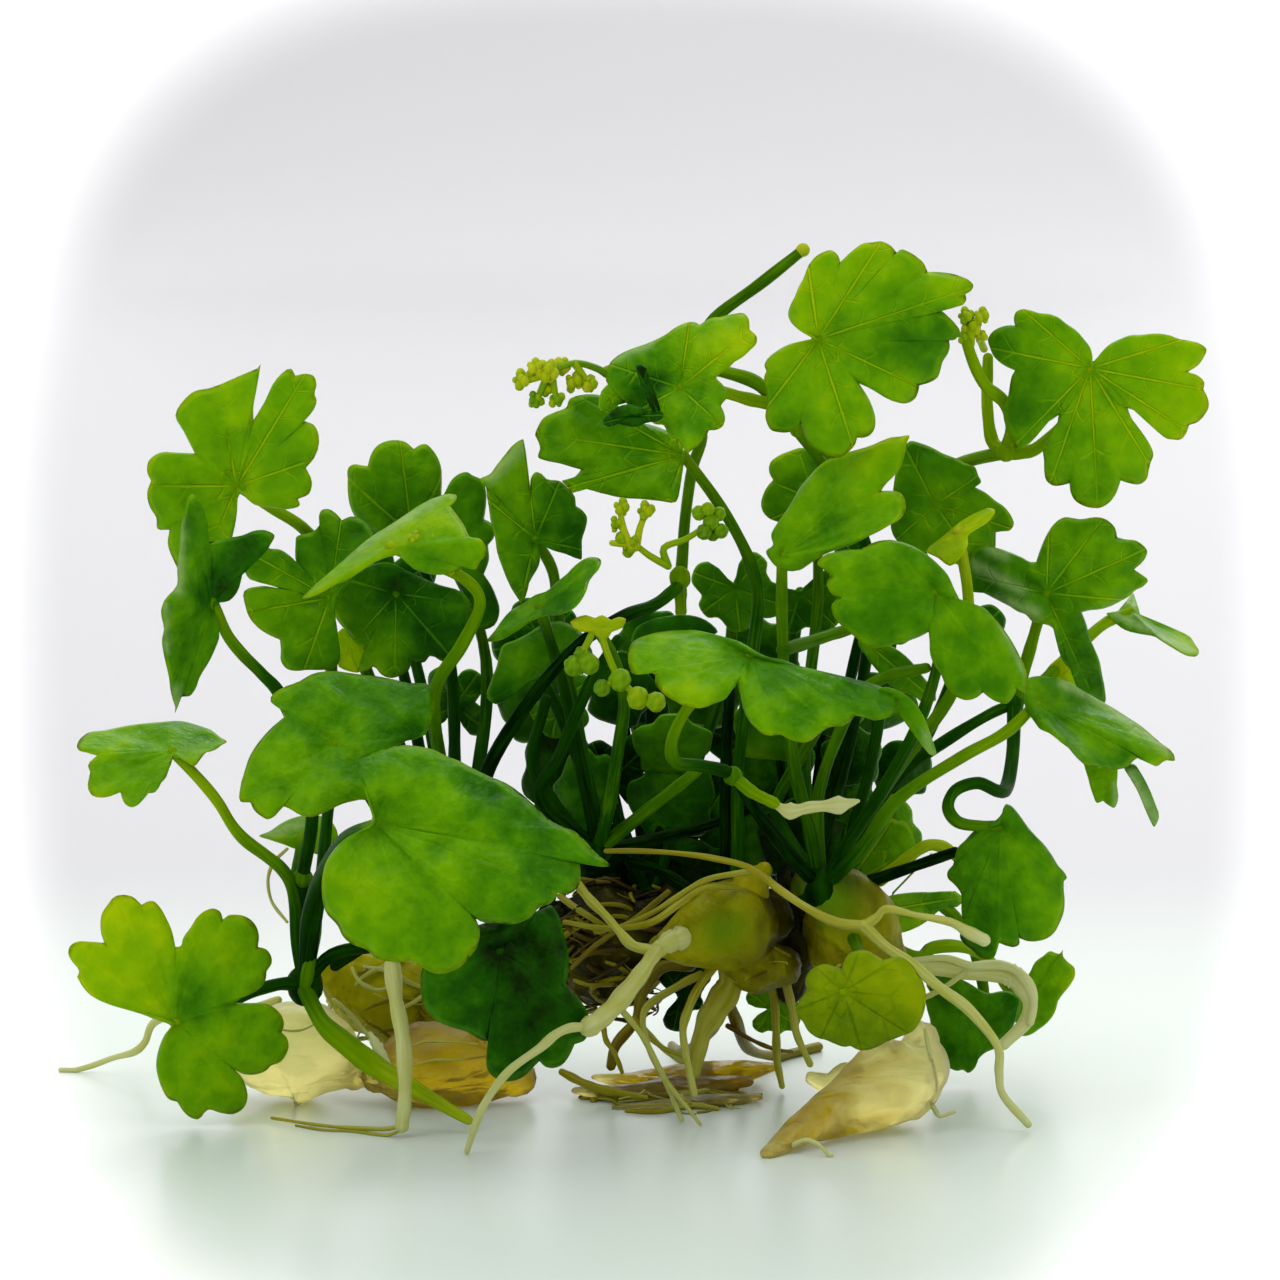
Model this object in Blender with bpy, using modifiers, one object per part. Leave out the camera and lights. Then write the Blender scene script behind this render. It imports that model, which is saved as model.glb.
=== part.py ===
"""A clump of small three-lobed pennywort, bare, standing on its roots. Metres, +Z up, front towards -Y."""

import math

import bmesh
import bpy
from mathutils import Vector

# Driving dimensions, in metres. The largest leaves are 13 to 17 mm across.
BLADE_THICK = 0.00034
STALK_RADIUS = 0.00042
STALK_TIP_SHARE = 0.78
PEDICEL_RADIUS = 0.0003
CLEARANCE = 0.0003
WELD = 0.000001

# A small leaf at the back: how wide its lobes are, and where its notches lie between two arms.
BACK_LOBE_TURN = math.radians(14)
BACK_NOTCH_SHARE = 0.36
BACK_SINUS_SHARE = 0.12

# A stalk with fewer hand-placed points than this is curved between them.
FEW_POINTS = 4

# The clump's places are columns and rows of the front view, 1280 across, with a depth in millimetres
# behind the origin. The view looks down a little, and one column is 0.06 mm at the plant's middle.
COLUMN = 0.00006
MIDDLE = 640
LOOK_DOWN = math.radians(9)
EYE_DISTANCE = 0.42
VIEW_CENTRE = Vector((0, 0, 0.0285))
MM = 0.001

# Each blade: the place of its hub, the tips of its lobes with how far each lies behind the hub in mm, and
# the rim's places in turn round the hub, as columns and rows.
LEAVES = {
    "leaf_left_top": {
        "hub": (237, 486, -2),
        "tips": [(205, 562, 0), (147, 486, -1), (215, 378, 0), (306, 373, -1), (317, 458, -1)],
        "rim": [(240, 494), (255, 505), (290, 509), (300, 505), (298, 499), (309, 494), (312, 482),
                (306, 468), (315, 457), (319, 436), (314, 425), (304, 421), (317, 400), (317, 385),
                (314, 376), (296, 376), (292, 369), (277, 379), (254, 420), (254, 407), (240, 376),
                (210, 388), (186, 398), (176, 415), (195, 453), (160, 452), (149, 460), (147, 470),
                (151, 480), (147, 492), (150, 507), (157, 528), (169, 529), (167, 543), (180, 572),
                (200, 578), (222, 562), (232, 536)]},
    "leaf_left_hanging": {
        "hub": (212, 602, -8),
        "tips": [(180, 712, -1), (164, 604, -4), (190, 493, 0), (272, 532, 2)],
        "rim": [(214, 610), (216, 647), (195, 690), (182, 697), (171, 692), (161, 611), (177, 585),
                (181, 525), (191, 494), (197, 496), (204, 510), (209, 542), (255, 530), (274, 535),
                (242, 575), (237, 592), (230, 600), (218, 603)]},
    "leaf_left_umbrella": {
        "hub": (173, 752, -2),
        "tips": [(196, 767, -2), (228, 742, 1), (182, 721, 4), (115, 726, 4), (78, 747, 1), (94, 796, -2),
                 (134, 807, -3), (154, 790, -3)],
        "rim": [(180, 758), (195, 766), (207, 752), (227, 742), (200, 726), (182, 721), (160, 722), (87, 733),
                (79, 740), (79, 750), (92, 754), (88, 765), (88, 789), (92, 795), (105, 797), (120, 792),
                (125, 804), (131, 807), (155, 792), (166, 777), (172, 758)]},
    "leaf_left_back": {
        "hub": (412, 535, 6),
        "tips": [(372, 560, 1), (350, 480, 0), (400, 440, 0), (442, 475, 0), (462, 545, 1)],
        "rim": [(418, 545), (445, 560), (462, 545), (442, 500), (441, 466), (426, 444), (414, 449),
                (406, 442), (387, 441), (377, 446), (368, 466), (349, 467), (350, 505), (375, 548),
                (395, 550)]},
    "leaf_left_slanting": {
        "hub": (391, 547, -6),
        "tips": [(303, 599, -1), (372, 530, 4), (458, 497, 2), (481, 541, -2)],
        "rim": [(400, 556), (425, 573), (440, 575), (467, 568), (486, 555), (485, 545), (470, 537),
                (450, 506), (457, 496), (440, 496), (372, 536), (302, 598), (347, 580), (375, 562)]},
    "leaf_left_middle": {
        "hub": (330, 598, 0),
        "tips": [(342, 512, 1), (248, 552, -1), (246, 612, -1), (303, 672, -1)],
        "rim": [(335, 612), (340, 660), (335, 668), (287, 669), (281, 661), (280, 640), (257, 627),
                (249, 617), (244, 592), (250, 588), (287, 591), (262, 583), (244, 570), (245, 557),
                (252, 544), (287, 554), (296, 537), (319, 525), (321, 510), (327, 509), (341, 520),
                (351, 516), (362, 520), (375, 545), (345, 585)]},
    "leaf_left_dark": {
        "hub": (396, 593, 3),
        "tips": [(332, 575, 0), (345, 652, 0), (395, 678, 0), (450, 655, 0), (474, 604, 0)],
        "rim": [(410, 572), (462, 592), (472, 605), (470, 620), (455, 655), (445, 662), (430, 656),
                (425, 662), (412, 662), (400, 676), (382, 675), (374, 667), (360, 671), (358, 645),
                (337, 620), (323, 592), (365, 567), (387, 562)]},
    "leaf_left_small": {
        "hub": (452, 545, 4),
        "tips": [(430, 515, 0), (465, 472, 0), (494, 522, 0), (490, 598, 0)],
        "rim": [(440, 540), (436, 520), (440, 500), (450, 482), (467, 472), (482, 480), (486, 492),
                (484, 519), (495, 530), (488, 545), (489, 560), (484, 574), (500, 610), (495, 625),
                (480, 630), (450, 570)]},
    "leaf_mid_left": {
        "hub": (535, 539, 2),
        "tips": [(521, 601, -1), (488, 500, -1), (525, 439, 0), (560, 481, 0), (584, 550, 0)],
        "rim": [(540, 545), (572, 556), (582, 550), (587, 517), (560, 481), (536, 472), (531, 492),
                (526, 455), (517, 442), (490, 474), (480, 479), (487, 495), (497, 552), (507, 580),
                (521, 602), (538, 567)]},
    "leaf_mid_diagonal": {
        "hub": (540, 608, -3),
        "tips": [(562, 612, -3), (488, 638, -1), (530, 588, 3), (601, 561, 0)],
        "rim": [(545, 616), (560, 615), (576, 607), (601, 560), (592, 557), (581, 561), (547, 591),
                (510, 611), (487, 641), (497, 641)]},
    "leaf_mid_low": {
        "hub": (540, 672, 3),
        "tips": [(488, 702, 0), (500, 652, 0.8), (560, 627, 0.8), (597, 641, 0)],
        "rim": [(548, 678), (585, 635), (570, 624), (555, 621), (502, 646), (487, 698), (495, 704)]},
    "leaf_top_folded": {
        "hub": (680, 388, -4),
        "tips": [(622, 420, -2), (606, 364, -1), (690, 321, 2), (755, 328, 0), (722, 426, -2)],
        "rim": [(678, 440), (688, 453), (708, 431), (722, 427), (725, 420), (721, 406), (728, 393),
                (716, 378), (757, 343), (749, 319), (745, 314), (735, 314), (712, 318), (700, 325),
                (683, 324), (611, 361), (606, 380), (612, 388), (632, 408), (663, 425), (668, 435)]},
    "leaf_top_middle": {
        "hub": (684, 456, 2),
        "tips": [(668, 504, -2), (570, 487, -1), (536, 434, 0), (578, 396, 1), (650, 372, 2)],
        "rim": [(690, 470), (676, 502), (622, 498), (568, 488), (562, 481), (581, 470), (538, 458),
                (540, 449), (535, 436), (543, 419), (566, 408), (575, 397), (600, 396), (689, 442)]},
    "leaf_top_big": {
        "hub": (818, 339, -4),
        "tips": [(808, 262, 0), (882, 241, 0), (970, 288, -1), (930, 392, 0), (855, 452, -1), (770, 404, 0)],
        "rim": [(815, 338), (798, 329), (788, 315), (808, 266), (823, 252), (836, 253), (840, 262),
                (863, 243), (881, 241), (896, 252), (908, 251), (916, 256), (927, 271), (960, 275),
                (973, 284), (962, 304), (947, 314), (960, 330), (938, 376), (920, 384), (916, 397),
                (908, 402), (897, 401), (860, 383), (874, 407), (876, 428), (872, 434), (859, 437),
                (845, 456), (835, 458), (815, 449), (802, 424), (798, 430), (780, 433), (773, 431),
                (767, 417), (768, 360), (787, 346)]},
    "leaf_right_star": {
        "hub": (1090, 368, 0),
        "tips": [(1030, 316, 0), (990, 348, 0), (1018, 442, 0), (1052, 478, 0), (1098, 509, 0),
                 (1149, 464, 0), (1186, 430, 0), (1207, 390, 0), (1188, 338, 0)],
        "rim": [(1092, 361), (1090, 347), (1076, 330), (1050, 314), (1022, 309), (1016, 312), (1015, 325),
                (1000, 327), (988, 339), (994, 356), (1015, 370), (1003, 415), (1013, 444), (1017, 448),
                (1024, 446), (1058, 415), (1043, 470), (1051, 485), (1068, 483), (1073, 500), (1098, 508),
                (1113, 496), (1119, 481), (1138, 485), (1145, 480), (1152, 456), (1127, 409), (1170, 441),
                (1180, 441), (1188, 427), (1197, 424), (1208, 409), (1204, 385), (1188, 374), (1204, 360),
                (1207, 352), (1202, 347), (1170, 337), (1132, 336), (1110, 345)]},
    "leaf_right_light": {
        "hub": (782, 556, -4),
        "tips": [(788, 500, 1), (845, 449, 1), (909, 435, 0), (905, 506, -1), (842, 547, -2)],
        "rim": [(778, 568), (766, 551), (773, 545), (771, 535), (800, 487), (822, 463), (890, 437),
                (909, 435), (906, 443), (900, 467), (881, 490), (900, 492), (904, 497), (905, 510),
                (900, 518), (800, 570)]},
    "leaf_right_shaded": {
        "hub": (815, 500, 7),
        "tips": [(768, 520, 0), (764, 478, 0), (798, 450, 0), (860, 462, 1), (855, 535, 1)],
        "rim": [(812, 540), (763, 512), (763, 495), (773, 480), (770, 463), (799, 448), (835, 456),
                (850, 470), (860, 490), (860, 520), (840, 538)]},
    "leaf_right_dark": {
        "hub": (935, 505, 4),
        "tips": [(903, 443, 0), (972, 480, 0), (1013, 529, 0), (975, 560, 0), (890, 545, 0)],
        "rim": [(925, 552), (905, 548), (893, 535), (890, 515), (902, 450), (910, 441), (933, 448),
                (975, 467), (981, 482), (975, 487), (1005, 507), (1014, 524), (1010, 530), (996, 532),
                (995, 552), (985, 565), (965, 566)]},
    "leaf_right_young": {
        "hub": (958, 533, 0),
        "tips": [(993, 510, 0), (965, 543, -1.5), (926, 552, 0), (952, 524, 1.5)],
        "rim": [(968, 545), (950, 566), (926, 551), (965, 519), (980, 511), (995, 510), (990, 520),
                (968, 536)]},
    "leaf_right_middle": {
        "hub": (935, 592, -8),
        "tips": [(885, 541, 1), (826, 583, 0), (866, 649, -1), (950, 696, -1), (1018, 700, -1),
                 (1006, 625, 0)],
        "rim": [(833, 603), (838, 598), (830, 592), (827, 582), (830, 577), (817, 564), (825, 555),
                (860, 549), (875, 542), (905, 543), (940, 566), (960, 600), (995, 618), (1005, 630),
                (1025, 665), (1028, 680), (1025, 692), (1008, 703), (984, 692), (968, 700), (958, 697),
                (935, 665), (929, 632), (903, 645), (875, 649), (865, 646), (838, 623), (832, 613)]},
    "leaf_right_three": {
        "hub": (1046, 593, 2),
        "tips": [(970, 576, 1), (1050, 522, 0), (1106, 515, 0), (1148, 548, 0), (1128, 600, 0),
                 (1092, 694, 2)],
        "rim": [(1036, 562), (1050, 529), (1065, 517), (1103, 518), (1115, 528), (1117, 537), (1143, 545),
                (1147, 550), (1145, 558), (1134, 569), (1148, 580), (1110, 606), (1082, 612), (1087, 625),
                (1100, 660), (1106, 702), (1080, 692), (1061, 655), (1053, 628), (1033, 622), (980, 593),
                (968, 580), (972, 552), (982, 547)]},
    "leaf_far_right": {
        "hub": (1130, 612, 10),
        "tips": [(1198, 652, 0), (1150, 630, -2.5), (1106, 612, -1), (1137, 595, 3)],
        "rim": [(1116, 613), (1113, 621), (1125, 630), (1155, 637), (1187, 656), (1199, 653), (1190, 637),
                (1139, 610), (1133, 593)]},
    "leaf_right_drooping": {
        "hub": (1036, 704, -4),
        "tips": [(1028, 675, 1), (1105, 704, 3), (1174, 760, 1), (1156, 825, 1), (1106, 807, -0.5),
                 (1050, 738, -3)],
        "rim": [(1026, 712), (1027, 676), (1043, 678), (1100, 700), (1172, 753), (1174, 759), (1158, 766),
                (1137, 766), (1159, 815), (1154, 826), (1117, 800), (1115, 808), (1100, 804), (1055, 736),
                (1045, 734), (1028, 721)]},
    "leaf_right_looped": {
        "hub": (1000, 826, -6),
        "tips": [(949, 868, 1), (966, 936, 0), (1000, 953, -1), (1052, 936, -1), (1067, 882, 0)],
        "rim": [(1003, 812), (1006, 804), (1018, 813), (1067, 878), (1064, 912), (1055, 932), (1038, 941),
                (1020, 938), (1015, 947), (1000, 943), (995, 957), (988, 959), (965, 944), (961, 938),
                (962, 895), (948, 878), (958, 848), (978, 828), (990, 824)]},
    "leaf_right_low_back": {
        "hub": (1022, 1008, 9),
        "tips": [(1031, 962, 0), (1055, 950, 0), (1075, 970, 0), (1052, 1014, 0), (1033, 1036, 0)],
        "rim": [(1015, 1020), (1012, 1005), (1016, 990), (1035, 962), (1050, 951), (1068, 962), (1075, 975),
                (1048, 1022), (1022, 1036)]},
    "leaf_right_low": {
        "hub": (985, 1025, 6),
        "tips": [(940, 1071, -1), (926, 1005, 0), (958, 973, 0), (1014, 990, 0), (1006, 1045, 0)],
        "rim": [(996, 1048), (985, 1053), (968, 1073), (940, 1070), (932, 1055), (934, 1038), (926, 1000),
                (931, 994), (926, 984), (940, 974), (955, 975), (990, 993), (1015, 994), (1020, 999),
                (1015, 1022)]},
    "leaf_front_round": {
        "hub": (858, 985, -14),
        "tips": [(812, 968, 1), (797, 1008, 0), (820, 1042, 0), (862, 1050, -1), (908, 1036, 0),
                 (926, 1003, 0), (902, 956, 1)],
        "rim": [(850, 955), (812, 970), (806, 976), (807, 991), (796, 1005), (799, 1014), (818, 1033),
                (858, 1049), (916, 1027), (926, 997), (910, 968), (890, 955), (880, 950)]},
    "leaf_right_olive": {
        "hub": (848, 884, 8),
        "tips": [(858, 800, 0), (898, 812, 0), (918, 846, 0), (892, 880, 0)],
        "rim": [(840, 890), (842, 835), (848, 812), (858, 801), (872, 800), (900, 820), (914, 832),
                (915, 855), (872, 890)]},
    "leaf_centre_front": {
        "hub": (750, 656, -12),
        "tips": [(688, 629, 3), (628, 652, 1), (692, 709, -3), (772, 739, -4), (832, 730, -3), (905, 720, -1),
                 (894, 688, 2)],
        "rim": [(747, 646), (695, 630), (665, 631), (635, 640), (628, 655), (632, 673), (655, 675),
                (660, 690), (680, 704), (705, 707), (725, 699), (737, 684), (741, 700), (748, 720),
                (762, 734), (780, 735), (795, 742), (805, 743), (855, 717), (905, 718), (903, 697),
                (895, 690), (762, 655)]},
    "leaf_left_dome": {
        "hub": (335, 745, -11),
        "tips": [(430, 686, 2), (356, 671, 4), (272, 695, 2), (242, 795, -2), (268, 820, -3), (328, 816, -4),
                 (396, 792, -2)],
        "rim": [(400, 745), (425, 735), (432, 715), (431, 686), (332, 671), (312, 674), (271, 697),
                (284, 717), (260, 740), (244, 772), (240, 801), (250, 802), (261, 816), (267, 819),
                (290, 809), (310, 817), (342, 804), (375, 800), (395, 785), (405, 765)]},
    "leaf_front_big": {
        "hub": (376, 824, -19),
        "tips": [(354, 775, 1), (407, 744, 3), (492, 766, 3), (611, 866, 1), (556, 896, -1), (505, 922, -2),
                 (468, 955, -2), (415, 968, -3), (345, 932, -3), (324, 880, -2)],
        "rim": [(372, 812), (370, 754), (400, 745), (432, 749), (505, 782), (550, 819), (575, 830),
                (610, 864), (581, 870), (580, 882), (572, 891), (559, 891), (552, 901), (517, 922),
                (482, 920), (479, 945), (472, 955), (462, 966), (442, 973), (412, 960), (380, 959),
                (355, 945), (327, 912), (323, 882), (326, 865), (335, 850)]},
    "leaf_shadow": {
        "hub": (500, 950, -11),
        "tips": [(420, 985, 0), (440, 1024, 0), (500, 1080, 0), (556, 1067, 0), (588, 1025, 0), (571, 950, 0),
                 (545, 904, 1)],
        "rim": [(515, 915), (545, 908), (557, 912), (567, 945), (566, 985), (589, 1017), (585, 1040),
                (575, 1044), (562, 1065), (552, 1068), (540, 1061), (525, 1076), (500, 1080), (487, 1065),
                (482, 1040), (435, 1020), (425, 1007), (421, 990), (422, 970), (435, 945), (470, 928)]},
    "leaf_low_left": {
        "hub": (176, 1022, -6),
        "tips": [(80, 980, 0), (70, 947, 0), (116, 894, 0), (155, 906, 0), (210, 908, 0), (268, 945, 0),
                 (289, 1036, 0), (244, 1104, 0), (183, 1114, 0)],
        "rim": [(170, 1025), (90, 995), (77, 977), (79, 972), (68, 954), (70, 946), (77, 942), (104, 943),
                (101, 915), (114, 897), (132, 897), (141, 905), (152, 901), (165, 917), (175, 947),
                (180, 946), (197, 916), (212, 908), (219, 911), (222, 919), (236, 914), (247, 917),
                (255, 925), (257, 946), (265, 948), (271, 962), (265, 979), (236, 1002), (265, 1002),
                (275, 1007), (282, 1015), (282, 1031), (289, 1045), (280, 1061), (267, 1069), (257, 1073),
                (236, 1069), (247, 1085), (249, 1097), (245, 1107), (235, 1113), (210, 1109), (200, 1119),
                (170, 1099), (157, 1065)]},
    "leaf_left_pale": {
        "hub": (302, 838, 5),
        "tips": [(258, 838, 0), (296, 818, 1.5), (338, 828, 0), (322, 856, -1)],
        "rim": [(306, 846), (297, 849), (259, 836), (290, 819), (315, 815), (330, 820), (338, 835),
                (330, 852), (315, 854)]},
}

# Small leaves at the back, which stay joined to their back stem: the hub, then the lobe tips in turn.
BACK_LEAVES = {
    "back_leaf_1": ((385, 600, 14), [(330, 585, 1), (365, 540, 0), (430, 560, 0), (440, 630, 1)]),
    "back_leaf_2": ((345, 755, 12), [(290, 770, 1), (320, 700, 0), (395, 720, 0), (400, 790, 1)]),
    "back_leaf_3": ((450, 830, 16), [(390, 850, 1), (410, 775, 0), (490, 790, 0), (520, 870, 1)]),
    "back_leaf_4": ((560, 700, 10), [(531, 716, 0), (552, 738, 0), (584, 728, 0), (590, 680, 1)]),
    "back_leaf_5": ((735, 588, 10), [(693, 572, 0), (702, 612, 0), (740, 632, 0), (784, 606, 0),
                                     (762, 556, 0)]),
    "back_leaf_6": ((690, 720, 16), [(630, 725, 1), (660, 660, 0), (735, 680, 0), (750, 750, 1)]),
    "back_leaf_7": ((540, 640, 15), [(492, 650, 1), (520, 600, 0), (572, 610, 0), (590, 665, 1)]),
    "back_leaf_8": ((800, 592, 11), [(768, 600, 0), (788, 633, 0), (836, 626, 0), (846, 580, 0)]),
    "back_leaf_9": ((870, 590, 16), [(815, 600, 1), (845, 540, 0), (925, 550, 0), (930, 620, 1)]),
    "back_leaf_10": ((965, 645, 15), [(935, 660, 1), (940, 600, 0), (1000, 610, 0), (1012, 680, 1)]),
    "back_leaf_11": ((845, 745, 15), [(805, 745, 1), (825, 700, 0), (868, 705, 0), (862, 780, 1)]),
    "back_leaf_12": ((455, 705, 12), [(425, 720, 1), (436, 668, 0), (478, 672, 0), (486, 730, 1)]),
    "back_leaf_13": ((610, 780, 12), [(566, 800, 1), (592, 742, 0), (652, 740, 0), (656, 800, 1)]),
    "back_leaf_14": ((700, 812, 12), [(655, 850, 1), (664, 770, 0), (738, 772, 0), (745, 842, 1)]),
    "back_leaf_15": ((770, 790, 13), [(735, 830, 1), (738, 745, 0), (806, 742, 0), (812, 830, 1)]),
    "back_leaf_16": ((682, 995, 8.4), [(663, 967, 0), (706, 966, 0), (702, 1006, 0), (673, 1031, 0)]),
    "back_leaf_17": ((772, 1008, 7), [(748, 992, 0), (790, 985, 0), (798, 1026, 0), (757, 1031, 0)]),
}

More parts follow.
